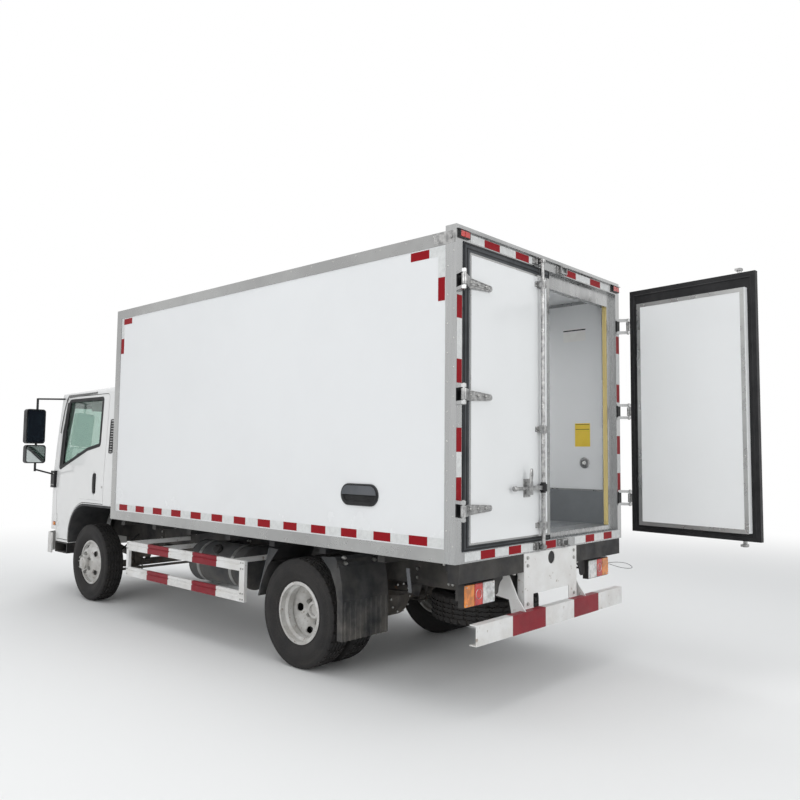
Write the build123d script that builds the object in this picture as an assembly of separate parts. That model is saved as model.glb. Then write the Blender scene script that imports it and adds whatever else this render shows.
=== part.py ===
from build123d import *
import math
import os
from collections import namedtuple

# A light refrigerated box truck with a tilting cab over its engine.
# Millimetres. +X is forward, +Y is the vehicle's left and +Z is up.
# The origin is on the ground under the middle of the rear axle.

# Stance
wheelbase = 3360.0
front_track = 1530.0
rear_track = 1485.0
dual_spacing = 235.0
kingpin_inset = 75.0

# Tyres, rims and hubs
tyre_radius = 380.0
tyre_width = 195.0
tread_width = 164.0
sidewall_radius = 305.0
bead_radius = 203.0
bead_width = 128.0
flange_height = 14.5
flange_lean = 7.0
barrel_wall = 6.0
well_radius = 187.0
well_start = -32.0
well_end = 36.0
well_slope = 14.0
wheel_offset = 117.5
disc_wall = 9.0
disc_flat_radius = 115.0
disc_dish = 62.0
hand_hole_count = 5
hand_hole_length = 60.0
hand_hole_width = 40.0
hand_hole_circle = 156.0
hub_radius = 62.0
hub_height = 44.0
drum_radius = 162.0
drum_width = 75.0
spindle_radius = 26.0
kingpin_radius = 14.0
steering_arm = 130.0
steering_eye = 20.0
tie_rod_radius = 13.0
tie_pin_radius = 9.0
fit_gap = 0.3
moving_gap = 6.0

# Front bumper
bumper_bottom = 410.0
bumper_height = 210.0
bumper_proud = 26.0
bumper_wall = 16.0

# Cab steps
step_rear = 490.0
step_length = 285.0
step_inner = 610.0
step_outer = 868.0
step_bottom = 420.0
step_top = 530.0
step_wall = 12.0

# Driveline
engine_rear = -400.0
engine_front = 380.0
gearbox_length = 660.0
pinion_x = 330.0

# Ladder frame
frame_width = 750.0
frame_top = 760.0
rail_height = 170.0
rail_flange = 60.0
rail_wall = 6.0
frame_rear_x = -1400.0
frame_front = 970.0
spring_width = 60.0
spring_leaf = 16.0
spring_span_front = 1180.0
spring_span_rear = 1240.0
spring_camber_front = 90.0
spring_camber_rear = 34.0
spring_eye_radius = 24.0
spring_pin_radius = 9.0
spring_eye_drop = 62.0
hanger_wall = 8.0
spare_x = -935.0
spare_low = 352.0

# Side guards
guard_rear_x = 550.0
guard_front_x = 2330.0
guard_rail_bottoms = (385.0, 612.0)
guard_rail_height = 78.0
guard_rail_depth = 26.0
guard_groove = 7.0
guard_rear_post = 65.0
guard_front_post = 40.0
guard_arm = 35.0
guard_arm_places = (700.0, 1735.0, 2270.0)
guard_inset = 62.0
bearer_inset = 92.0

# Rear plate
rear_plate_width = 662.0
rear_plate_bottom = 531.0
rear_plate_leg = 106.0
rear_plate_arch = 617.0
rear_plate_wall = 5.0
rear_plate_flange = 45.0
rear_plate_hole = 42.0
rear_plate_hole_z = 828.0

# Mudguards
guard_arc_wall = 4.0
flap_bottom = 265.0
flap_flutes = 9

# Load box
box_rear_x = -1476.0
box_length = 4063.0
box_width = 2072.0
box_bottom = 878.0
box_top = 2825.0
box_wall = 80.0
load_floor = 980.0
floor_sheet_wall = 3.0
trim_proud = 4.0
trim_leg = 80.0
kick_height = 250.0
kick_wall = 4.0
bearer_height = 60.0
bearer_width = 60.0
bearer_count = 8

# Rear door frame
frame_depth = 82.0
header_top = 2857.0
post_face = 60.0
jamb_width = 136.0
sill_top = 943.0
header_bottom = 2765.0
opening_top = 2660.0
rebate_depth = 36.0
rain_lip_depth = 16.0
rain_lip_height = 14.0
rain_lip_z = 2829.0
marker_lamp_height = 46.0

# Rear doors
door_reveal = 5.0
door_proud = 10.0
door_cap = 30.0
door_plug = 50.0
seal_width = 55.0
seal_lip = 10.0
seal_bottom = 32.0
meeting_gap = 40.0
plug_margin = 24.0
rear_door_rest = 83.0

# Rear door hinges and locking gear
hinge_pin_back = 69.0
hinge_pin_out = 14.0
hinge_pin_radius = 8.0
hinge_knuckle_radius = 16.0
hinge_knuckle_height = 66.0
hinge_ear_height = 20.0
hinge_strap_wall = 12.0
hinge_strap_reach = 246.0
hinge_strap_end = 36.0
hinge_heights = (1186.0, 1850.0, 2515.0)
rod_radius = 13.5
rod_from_centre = 157.0
rod_standoff = 30.0
rod_bottom = 905.0
rod_top = 2806.0
rod_bracket_heights = (1050.0, 1675.0, 2640.0)
handle_height = 1295.0
handle_length = 190.0

# Cab, its places along X counted from the front axle
cab_rear = -640.0
cab_front = 1045.0
cab_width = 1770.0
cab_roof_width = 1690.0
cab_waist = 1330.0
cab_side_bow = 7.0
cab_sill_width = 1744.0
cab_corner_radius = 180.0
nose_bow = 125.0
nose_bow_radius = 4500.0
brow_z = 1250.0
windscreen_lean = 11.0
roof_drop = 45.0
roof_front_radius = 150.0
cab_roof = 2157.0
cab_skin = 55.0
cab_floor_bottom = 536.0
cab_platform = 950.0
arch_front = 440.0
arch_radius = 360.0
arch_lip = 24.0
nose_bottom = 655.0
nose_rear = 752.0
tunnel_width = 860.0
tunnel_top = 785.0
tunnel_front = 985.0
tilt_pin = 1000.0
tilt_pin_z = 600.0
tilt_pin_radius = 14.0
windscreen_width = 1500.0
glass_wall = 6.0

grille_inset = 8.0
grille_wall = 32.0
grille_margin = 24.0
grille_pitch = 38.0
grille_slots = 5

# Cab doors
door_rear = -310.0
door_front = 745.0
door_top = 2085.0
door_bottom = 560.0
pillar_foot_z = 1300.0
pillar_bend = 725.0
pillar_bend_z = 1720.0
pillar_head = 610.0
handle_x = -110.0
handle_z = 1177.0
handle_well_width = 70.0
handle_well_height = 228.0
handle_well_depth = 12.0
door_gap = 7.0
door_rebate = 10.0
door_lip = 20.0
door_pin_back = 15.0
door_pin_in = 5.0
door_pin_radius = 4.0
door_barrel_radius = 9.0
door_barrel_height = 22.0
door_ear_height = 16.0
door_hinge_heights = (790.0, 1190.0)
window_margin = 42.0
window_rear_margin = 130.0
window_rear_sill = 1560.0
window_step = 270.0
dash_gap = 25.0
mirror_corner = 30.0
mirror_back = 205.0
mirror_reach = 205.0
mirror_arm_top = 2064.0

# Refrigeration unit
unit_width = 1200.0
unit_depth = 385.0
unit_bottom = 2425.0
unit_top = 2800.0

axle_height = tyre_radius
kingpin_track = front_track - 2 * kingpin_inset
engine_rear_x = wheelbase + engine_rear
engine_front_x = wheelbase + engine_front
gearbox_rear_x = engine_rear_x - gearbox_length
body_half = box_width / 2
wall_outer = body_half - trim_proud
wall_inner = wall_outer - box_wall
box_front_x = box_rear_x + box_length
body_rear_x = box_rear_x + frame_depth
slab_top = load_floor - floor_sheet_wall
frame_front_x = wheelbase + frame_front
rail_outer = frame_width / 2
rail_inner = rail_outer - rail_wall
rail_bottom = frame_top - rail_height
spring_y = rail_outer - spring_width / 2
guard_inner = body_half - guard_inset
bearer_half = body_half - bearer_inset
cab_rear_x = wheelbase + cab_rear
cab_front_x = wheelbase + cab_front
arch_front_x = wheelbase + arch_front
nose_rear_x = wheelbase + nose_rear
tunnel_front_x = wheelbase + tunnel_front
tilt_pin_x = wheelbase + tilt_pin
door_rear_x = wheelbase + door_rear
door_front_x = wheelbase + door_front
pillar_head_x = wheelbase + pillar_head
pillar_bend_x = wheelbase + pillar_bend
step_rear_x = wheelbase + step_rear
step_front_x = step_rear_x + step_length
door_pin_x = door_front_x - door_pin_back
door_pin_y = cab_width / 2 - door_pin_in
cab_door_inner = cab_width / 2 - cab_skin - 12


# Shapes
def block(x, y, z):
    # each argument is (low, high)
    size = [high - low for low, high in (x, y, z)]
    middle = [(low + high) / 2 for low, high in (x, y, z)]
    return Pos(*middle) * Box(*size)


def closed_face(path, radii=0):
    if radii:
        return make_face(FilletPolyline(*path, radius=radii, close=True))
    return make_face(Polyline(*path, close=True))


def across(side_view, low, high, radii=0):
    # a side view in (x, z), carried across from y low to y high
    path = [(x, low, z) for x, z in side_view]
    return extrude(closed_face(path, radii), amount=high - low, dir=(0, 1, 0))


def along(end_view, low, high, radii=0):
    # an end view in (y, z), carried forward from x low to x high
    path = [(low, y, z) for y, z in end_view]
    return extrude(closed_face(path, radii), amount=high - low, dir=(1, 0, 0))


def upward(plan, low, high, radii=0):
    # a plan in (x, y), carried up from z low to z high
    path = [(x, y, low) for x, y in plan]
    return extrude(closed_face(path, radii), amount=high - low, dir=(0, 0, 1))


def turned(section):
    # a section of (radius, height) pairs, turned about the local Z axis
    return revolve(closed_face([(r, 0, h) for r, h in section]), axis=Axis.Z)


def rod(start, end, radius):
    path = Vector(*end) - Vector(*start)
    return Plane(origin=start, z_dir=path) * extrude(Circle(radius), amount=path.length)


def pair(piece):
    return Part() + piece + mirror(piece, about=Plane.XZ)


def on_axle(piece, x, y):
    # turns a wheel piece's local Z outboard and sets it on the axle's line
    side = math.copysign(1, y)
    return Pos(x, y, axle_height) * Rot(X=-90 * side) * piece


# Wheels: local Z points outboard from the middle of the rim
def tyre():
    seat = bead_radius + fit_gap
    half_bead = bead_width / 2 - fit_gap
    half_section = tyre_width / 2
    half_tread = tread_width / 2
    return turned([
        (seat, -half_bead), (sidewall_radius, -half_section), (tyre_radius, -half_tread),
        (tyre_radius, half_tread), (sidewall_radius, half_section), (seat, half_bead),
    ])


def barrel():
    half = bead_width / 2
    lip = bead_radius + flange_height
    bore = bead_radius - barrel_wall
    well_bore = well_radius - barrel_wall
    return turned([
        (bead_radius, -half), (bead_radius, well_start), (well_radius, well_start + well_slope),
        (well_radius, well_end - well_slope), (bead_radius, well_end), (bead_radius, half),
        (lip, half + flange_lean), (bore, half + 1.6 * flange_lean), (bore, well_end + 2),
        (well_bore, well_end - well_slope + 2), (well_bore, well_start + well_slope - 2),
        (bore, well_start - 2), (bore, -half - 1.6 * flange_lean), (lip, -half - flange_lean),
    ])


def disc():
    # the dished centre, its flat face at the wheel's offset
    bore = bead_radius - barrel_wall
    rim_side = wheel_offset - disc_dish
    centre = turned([
        (spindle_radius + fit_gap, wheel_offset), (disc_flat_radius, wheel_offset),
        (bore, rim_side), (bore, rim_side - disc_wall),
        (disc_flat_radius - disc_wall / 2, wheel_offset - disc_wall),
        (spindle_radius + fit_gap, wheel_offset - disc_wall),
    ])
    hole = Pos(hand_hole_circle, 0, rim_side - disc_wall) * Rot(Z=90) * extrude(
        SlotOverall(hand_hole_length, hand_hole_width), amount=disc_dish + disc_wall)
    for turn in range(hand_hole_count):
        centre -= Rot(Z=360 * turn / hand_hole_count) * hole
    return centre


def hub(outer_face, drum_face, recess):
    # a capped hub with a brake drum behind it, bored for the spindle
    bore = spindle_radius + fit_gap
    cap = outer_face + hub_height / 2
    return turned([
        (0, cap + hub_height / 2 - recess), (hub_radius - 24, cap + hub_height / 2 - recess),
        (hub_radius - 20, cap + hub_height / 2), (hub_radius - 6, cap + hub_height / 2),
        (hub_radius, cap + hub_height / 2 - 6), (hub_radius, outer_face), (bore, outer_face),
        (bore, cap), (0, cap),
    ]) + turned([
        (bore, drum_face), (drum_radius, drum_face), (drum_radius, drum_face - drum_width),
        (bore, drum_face - drum_width),
    ])


def front_rim():
    back = wheel_offset - disc_wall
    neck = turned([
        (spindle_radius + fit_gap, back), (hub_radius, back),
        (hub_radius, back - disc_dish), (spindle_radius + fit_gap, back - disc_dish),
    ])
    return barrel() + disc() + hub(wheel_offset, back - disc_dish, -8) + neck


def rear_rims():
    # two rims face to face on one hub, in the frame of the dual pair's middle
    flipped = Rot(X=180) * (barrel() + disc())
    outer = Pos(0, 0, dual_spacing / 2) * flipped
    gap = dual_spacing / 2 - wheel_offset
    inner = Pos(0, 0, -dual_spacing / 2) * (barrel() + disc())
    bridge = turned([
        (spindle_radius + fit_gap, -gap - disc_wall), (hub_radius, -gap - disc_wall),
        (hub_radius, gap + disc_wall), (spindle_radius + fit_gap, gap + disc_wall),
    ])
    return outer + inner + bridge + hub(gap + disc_wall, -gap - disc_wall, 18)


def rear_tyres():
    half = dual_spacing / 2
    return Part() + Pos(0, 0, half) * tyre() + Pos(0, 0, -half) * tyre()


# Front axle and steering
def kingpin_boss(grown):
    return rod(
        (wheelbase, kingpin_track / 2, axle_height - 36 - grown),
        (wheelbase, kingpin_track / 2, axle_height + 36 + grown), 30)


def front_axle():
    reach = kingpin_track / 2 - 12
    beam = along([
        (-reach, 348), (-480, 300), (480, 300), (reach, 348),
        (reach, 412), (460, 362), (-460, 362), (-reach, 412),
    ], wheelbase - 32, wheelbase + 32)
    beam += pair(kingpin_boss(0))
    beam -= pair(rod(
        (wheelbase, kingpin_track / 2, axle_height - 60),
        (wheelbase, kingpin_track / 2, axle_height + 60), kingpin_radius + fit_gap))
    seat_top = spring_low(spring_camber_front)
    beam += pair(block(
        (wheelbase - 60, wheelbase + 60), (spring_y - 40, spring_y + 40), (355, seat_top)))
    return beam


def knuckle():
    x = wheelbase
    y = kingpin_track / 2
    z = axle_height
    plate_y = front_track / 2 + wheel_offset - disc_wall - disc_dish - drum_width - moving_gap
    body = rod((x, y, z - 74), (x, y, z + 74), kingpin_radius)
    for low, high in ((z - 74, z - 42), (z + 42, z + 74)):
        body += rod((x, y, low), (x, y, high), 32)
        body += block((x - 28, x + 28), (y, plate_y), (low, high))
    body += rod((x, plate_y - 10, z), (x, plate_y, z), drum_radius)
    body += rod((x, plate_y, z), (x, front_track / 2 + wheel_offset + hub_height / 2 - 4, z),
                spindle_radius)
    eye_x = x - steering_arm
    low, high = arm_levels()
    body += block((eye_x, x), (y - steering_eye, y + steering_eye), (low, high))
    body += rod((eye_x, y, low), (eye_x, y, high), steering_eye)
    body -= rod((eye_x, y, low - 1), (eye_x, y, high + 1), tie_pin_radius + fit_gap)
    return body


def arm_levels():
    # underside and top of the steering arms
    return axle_height - 66, axle_height - 46


def tie_rod():
    # parallel arms, so the rod only shifts and both ends stay on their pins
    x = wheelbase - steering_arm
    y = kingpin_track / 2
    low, high = arm_levels()
    middle = low - 4 - 1.2 * tie_rod_radius
    link = rod((x, -y, middle), (x, y, middle), tie_rod_radius)
    for side in (-1, 1):
        link += rod((x, side * y, middle - 1.2 * tie_rod_radius), (x, side * y, low - 4),
                    steering_eye - 1)
        link += rod((x, side * y, middle), (x, side * y, high + 6), tie_pin_radius)
    return link


# Rear axle and springs
def rear_axle():
    brake_face = rear_track / 2 - disc_wall - (dual_spacing / 2 - wheel_offset)
    plate_y = brake_face - drum_width - moving_gap
    housing = rod((0, -plate_y, axle_height), (0, plate_y, axle_height), 52)
    banjo = turned([(0, -130), (110, -120), (150, -60), (150, 60), (110, 120), (0, 130)])
    housing += Pos(0, 0, axle_height) * Rot(X=-90) * banjo
    housing += rod((60, 0, axle_height), (pinion_x, 0, axle_height), 62)
    for side in (-1, 1):
        housing += rod((0, side * (plate_y - 10), axle_height), (0, side * plate_y, axle_height),
                       drum_radius)
        housing += rod((0, side * plate_y, axle_height),
                       (0, side * (rear_track / 2 + hub_height / 2 + 4), axle_height),
                       spindle_radius)
    seat_top = spring_low(spring_camber_rear)
    housing += pair(block((-55, 55), (spring_y - 38, spring_y + 38), (axle_height, seat_top)))
    return housing


def spring_eye_z():
    return rail_bottom - spring_eye_drop


def spring_low(camber):
    # the underside of the leaf pack at its middle
    return spring_eye_z() - camber - 2.5 * spring_leaf


def leaf(spring, share, level):
    # one leaf: an arc of the main leaf's circle, shorter and lower down the pack
    radius = (spring.span ** 2 / 4 + spring.camber ** 2) / (2 * spring.camber)
    centre_z = spring_eye_z() - spring.camber + radius
    inner = radius + (level - 0.5) * spring_leaf
    half = share * math.asin(spring.span / 2 / radius)
    arcs = []
    for reach in (inner, inner + spring_leaf):
        ends = [(spring.x + reach * math.sin(turn), spring_y - spring_width / 2,
                 centre_z - reach * math.cos(turn)) for turn in (-half, 0, half)]
        arcs.append(ThreePointArc(*ends))
    sides = [Line(arcs[0] @ end, arcs[1] @ end) for end in (0, 1)]
    return extrude(make_face(arcs + sides), amount=spring_width, dir=(0, 1, 0))


# axle x, span between the eyes, camber
Spring = namedtuple("Spring", "x span camber")
springs = (
    Spring(wheelbase, spring_span_front, spring_camber_front),
    Spring(0.0, spring_span_rear, spring_camber_rear),
)


def leaf_springs():
    packs = Part()
    low = spring_y - spring_width / 2
    high = spring_y + spring_width / 2
    for spring in springs:
        pack = leaf(spring, 1.0, 0) + leaf(spring, 0.72, 1) + leaf(spring, 0.42, 2)
        for end in (-1, 1):
            x = spring.x + end * spring.span / 2
            pack += rod((x, low, spring_eye_z()), (x, high, spring_eye_z()), spring_eye_radius)
            pack -= rod((x, low - 1, spring_eye_z()), (x, high + 1, spring_eye_z()),
                        spring_pin_radius + fit_gap)
        packs += pair(pack)
    return packs


def hangers():
    # two cheeks and a pin for each spring eye, hung from the rail
    pieces = Part()
    for spring in springs:
        for end in (-1, 1):
            x = spring.x + end * spring.span / 2
            low = spring_y - spring_width / 2 - 2
            high = spring_y + spring_width / 2 + 2
            foot = spring_eye_z() - 20
            for start in (low - hanger_wall, high):
                pieces += across([
                    (x - 55, rail_bottom), (x + 55, rail_bottom), (x + 22, foot), (x - 22, foot),
                ], start, start + hanger_wall)
            pieces += block((x - 55, x + 55), (low - hanger_wall, high + hanger_wall),
                            (rail_bottom - 8, rail_bottom))
            pieces += rod((x, low, spring_eye_z()), (x, high, spring_eye_z()), spring_pin_radius)
    return pieces


# Ladder frame
def frame_rails():
    web = rail_outer - rail_flange
    rail = along([
        (rail_outer, rail_bottom), (rail_outer, frame_top), (web, frame_top),
        (web, frame_top - rail_wall), (rail_inner, frame_top - rail_wall),
        (rail_inner, rail_bottom + rail_wall), (web, rail_bottom + rail_wall), (web, rail_bottom),
    ], frame_rear_x, frame_front_x)
    rail += hangers()
    # the cab's tilt pin on its plate, and the bumper's bracket
    rail += across([
        (frame_front_x - 90, 576), (frame_front_x - 90, 640), (frame_front_x, 640),
        (tilt_pin_x + 24, 620), (tilt_pin_x + 24, 588), (tilt_pin_x + 10, 576),
    ], rail_outer, rail_outer + 12)
    rail += rod((tilt_pin_x, rail_outer + 12, tilt_pin_z),
                (tilt_pin_x, tunnel_width / 2 + 28, tilt_pin_z), tilt_pin_radius)
    return pair(rail)


# x of each cross-member behind the engine and ahead of it
cross_member_places = (-1390.0, spare_x - 30, 560.0, 1300.0, 2150.0, wheelbase + 770)


def cross_members():
    members = Part()
    low = rail_bottom + rail_wall + 4
    high = frame_top - rail_wall - 4
    for x in cross_member_places:
        members += across([
            (x, low), (x + 60, low), (x + 60, low + 6), (x + 6, low + 6),
            (x + 6, high - 6), (x + 60, high - 6), (x + 60, high), (x, high),
        ], -rail_inner, rail_inner)
    # the arch that carries the back of the cab
    depth = (cab_rear_x + 35, cab_rear_x + 85)
    middle = cab_rear_x + 60
    foot = block(depth, (rail_outer, rail_outer + 8), (rail_bottom + 20, frame_top))
    post = block(depth, (rail_outer, rail_outer + 45), (frame_top, 905))
    arch = pair(foot + post) + block(depth, (-rail_outer - 45, rail_outer + 45), (880, 920))
    arch += pair(rod((middle, 300, 920), (middle, 300, cab_platform - 5), 34))
    return members + arch + spare_carrier()


def spare_carrier():
    # the bar under the spare wheel and the rod that hangs it from its cross-member
    bar = block((spare_x - 30, spare_x + 30), (-bead_radius - 50, bead_radius + 50),
                (spare_low - 12, spare_low))
    return bar + rod((spare_x, 0, spare_low - 2), (spare_x, 0, rail_bottom + rail_wall + 6), 9)


# Engine and driveline
def engine():
    body = across([
        (engine_rear_x, 500), (engine_front_x, 500), (engine_front_x, 690),
        (engine_front_x - 210, 905), (engine_rear_x, 905),
    ], -255, 255)
    body += across([
        (gearbox_rear_x, 470), (engine_rear_x, 480), (engine_rear_x, 850), (gearbox_rear_x, 720),
    ], -150, 150)
    return body


def drive_shaft():
    shaft = rod((pinion_x - 40, 0, axle_height), (gearbox_rear_x + 40, 0, 540), 40)
    return shaft & block((pinion_x, gearbox_rear_x), (-200, 200), (0, 1000))


def fuel_tank():
    tank = rod((900, 610, 560), (1650, 610, 560), 172)
    for x in (1020, 1480):
        tank += block((x, x + 50), (rail_outer, 610), (620, 720))
    return tank


def battery_box():
    case = block((1250, 1720), (-900, -560), (440, 700))
    return case + block((1300, 1670), (-560, -rail_outer), (645, 690))


def exhaust():
    muffler = rod((1900, -530, 560), (2450, -530, 560), 88)
    pipe = rod((2450, -530, 560), (cab_rear_x + 40, -530, 560), 26)
    tail = rod((1900, -530, 600), (1000, -450, 600), 26)
    clips = block((2000, 2030), (-530, -rail_outer), (640, 660))
    clips += block((2320, 2350), (-530, -rail_outer), (640, 660))
    return muffler + pipe + tail + clips


# Guards and rear fittings
def side_guard():
    # two rails closed into a loop by their end posts, on arms from the ladder frame
    inner, outer = guard_inner, guard_inner + guard_rail_depth
    bottom, top = guard_rail_bottoms[0], guard_rail_bottoms[1] + guard_rail_height
    guard = Part()
    for low in guard_rail_bottoms:
        high = low + guard_rail_height
        groove = low + 0.6 * guard_rail_height
        guard += along([
            (inner, low), (outer, low), (outer, groove - 6), (outer - guard_groove, groove),
            (outer - guard_groove, groove + 4), (outer - 2, groove + 8), (outer - 2, high),
            (inner, high),
        ], guard_rear_x, guard_front_x)
    guard += block((guard_rear_x, guard_rear_x + guard_rear_post), (inner, outer), (bottom, top))
    guard += block((guard_front_x - guard_front_post, guard_front_x), (inner, outer),
                   (bottom, top))
    for x in guard_arm_places:
        guard += block((x, x + guard_arm), (rail_outer, inner), (top - guard_arm, top))
    return guard


def rear_guard():
    beam = across([
        (-1535, 410), (-1485, 410), (-1485, 416), (-1529, 416), (-1529, 524), (-1485, 524),
        (-1485, 530), (-1535, 530),
    ], -910, 910)
    arm = across([
        (-1529, 416), (-1440, 416), (-1400, 590), (-1250, 610), (-1250, 740), (-1400, 740),
        (-1470, 600), (-1529, 524),
    ], rail_outer, rail_outer + 10)
    return beam + pair(arm)


def guards():
    return pair(side_guard()) + rear_guard()


def rear_plate():
    # a plate on two legs, with flanges folded forward at its sides and a hole for the tow pin
    half = rear_plate_width / 2
    low, high = rear_plate_bottom, box_bottom
    plate = block((box_rear_x - rear_plate_wall, box_rear_x), (-half, half), (low, high))
    plate -= block((box_rear_x - 20, box_rear_x + 20),
                   (-half + rear_plate_leg, half - rear_plate_leg), (0, rear_plate_arch))
    for side in (-1, 1):
        edges = sorted((side * half, side * (half - rear_plate_wall)))
        plate += block((box_rear_x, box_rear_x + rear_plate_flange), edges, (low, frame_top + 3))
    plate -= rod((box_rear_x - 20, 0, rear_plate_hole_z), (box_rear_x + 20, 0, rear_plate_hole_z),
                 rear_plate_hole)
    return plate


def rear_lamps():
    lamp = upward([(-1430, 592), (-1430, 892), (-1392, 900), (-1392, 584)], 609, 744)
    lamp += block((-1392, -1350), (620, 870), (640, frame_top + 3))
    marker = block((box_rear_x - 14, box_rear_x), (918, 1016),
                   (rain_lip_z - 3 - marker_lamp_height, rain_lip_z - 3))
    return pair(lamp) + pair(marker)


# side view of each strip in (x, z): its outer edge from the top down, then its inner edge
MudStrip = namedtuple("MudStrip", "outer inner")
mud_strips = (
    MudStrip(((303, 812), (348, 700), (392, 560), (424, 450)),
             ((412, 450), (385, 560), (325, 675), (205, 806))),
    MudStrip(((-399, 812), (-445, 740), (-468, 650), (-480, 540), (-480, 265)),
             ((-432, 265), (-428, 520), (-410, 610), (-357, 715), (-262, 800))),
)


def rear_mudguards():
    # a flanged strip ahead of the wheel pair and one behind it, which carries the fluted flap
    low = rear_track / 2 - dual_spacing / 2 - tyre_width / 2 - 5
    high = rear_track / 2 + dual_spacing / 2 + tyre_width / 2 + 5
    wall = guard_arc_wall
    shell = Part()
    for strip in mud_strips:
        side = math.copysign(1, strip.outer[0][0])
        shell += across(list(strip.outer) + list(strip.inner), high - 1.5 * wall, high)
        inside = [(x - side * wall, z) for x, z in reversed(strip.outer)]
        shell += across(list(strip.outer) + inside, low, high)
        # its stay from the ladder frame
        x, z = strip.outer[1]
        shell += rod((x - side * 10, rail_outer, z), (x - side * 10, high - 40, z), 10)
    flap_x, flap_z = mud_strips[1].outer[-2]
    pitch = (high - low) / flap_flutes
    for count in range(flap_flutes):
        y = low + (count + 0.5) * pitch
        shell += rod((flap_x, y, flap_bottom), (flap_x, y, flap_z - 20), pitch / 6)
    return pair(shell)


def spare_wheel():
    half = tyre_width / 2
    body = turned([
        (bead_radius, -half), (tyre_radius, -tread_width / 2), (tyre_radius, tread_width / 2),
        (bead_radius, half),
    ])
    body += turned([(30, 10), (bead_radius, -20), (bead_radius, -29), (30, 1)])
    return Pos(spare_x, 0, spare_low + half) * body


def front_bumper():
    path = [(x, y, bumper_bottom) for x, y in cab_plan()]
    shell = view_face(path, cab_plan_radii, -bumper_proud)
    shell -= view_face(path, cab_plan_radii, bumper_wall - bumper_proud)
    bar = extrude(shell, amount=bumper_height, dir=(0, 0, 1))
    bar &= block((cab_front_x - 280, cab_front_x + 100), (-cab_width, cab_width),
                 (bumper_bottom, bumper_bottom + bumper_height))
    for side in (-1, 1):
        edges = sorted((side * (rail_outer - 45), side * rail_outer))
        bar += block((frame_front_x, cab_front_x - 10), edges, (rail_bottom, rail_bottom + 28))
    return bar


def cab_steps():
    # a moulded step well under each door, with its mudflap behind the wheel
    well = block((step_rear_x, step_front_x), (step_inner, step_outer), (step_bottom, step_top))
    well -= block((step_rear_x + step_wall, step_front_x - step_wall),
                  (step_inner + step_wall, step_outer + 1), (step_bottom + step_wall, step_top - 12))
    well += block((step_front_x - step_wall, frame_front_x), (rail_outer, step_inner + 60),
                  (step_bottom + 30, step_bottom + 60))
    return pair(well)


# Load box
def box_floor():
    return block((body_rear_x, box_front_x), (-wall_outer, wall_outer), (box_bottom, slab_top))


def floor_sheet():
    return block((body_rear_x, box_front_x - box_wall - kick_wall),
                 (-wall_inner + kick_wall, wall_inner - kick_wall), (slab_top, load_floor))


def kick_plates():
    tray = block((body_rear_x, box_front_x - box_wall), (-wall_inner, wall_inner),
                 (slab_top, load_floor + kick_height))
    tray -= block((body_rear_x - 1, box_front_x - box_wall - kick_wall),
                  (-wall_inner + kick_wall, wall_inner - kick_wall),
                  (slab_top - 1, load_floor + kick_height + 1))
    return tray


def bearers():
    low = frame_top
    middle = box_bottom - bearer_height
    first = body_rear_x
    last = box_front_x - 40
    runners = pair(block((first, last), (rail_outer - rail_flange, rail_outer), (low, middle)))
    step = (last - first - bearer_width) / (bearer_count - 1)
    for place in range(bearer_count):
        x = first + place * step
        runners += block((x, x + bearer_width), (-bearer_half, bearer_half),
                         (middle, box_bottom))
    beam = block((box_rear_x, body_rear_x), (-1000, 1000), (frame_top + 3, box_bottom))
    return runners + beam


def side_walls():
    wall = block((body_rear_x, box_front_x), (wall_inner, wall_outer),
                 (slab_top, box_top - trim_proud - box_wall))
    return pair(wall)


def front_wall():
    return block((box_front_x - box_wall, box_front_x), (-wall_inner, wall_inner),
                 (slab_top, box_top - trim_proud - box_wall))


def box_roof():
    top = box_top - trim_proud
    return block((body_rear_x, box_front_x), (-wall_outer, wall_outer), (top - box_wall, top))


def box_trims():
    # folded edge sections round the box, cut from one thin outer shell
    top = box_top - trim_proud
    shell = block((body_rear_x, box_front_x + trim_proud), (-body_half, body_half),
                  (box_bottom, box_top))
    shell -= block((body_rear_x - 1, box_front_x), (-wall_outer, wall_outer), (box_bottom - 1, top))
    shell -= block((body_rear_x - 1, box_front_x - trim_leg), (-2000, 2000),
                   (box_bottom + trim_leg, box_top - trim_leg))
    shell -= block((body_rear_x - 1, box_front_x - trim_leg),
                   (-body_half + trim_leg, body_half - trim_leg), (top - 1, box_top + 1))
    shell -= block((box_front_x - 1, box_front_x + trim_proud + 1),
                   (-body_half + trim_leg, body_half - trim_leg),
                   (box_bottom + trim_leg, box_top - trim_leg))
    return shell


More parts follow.
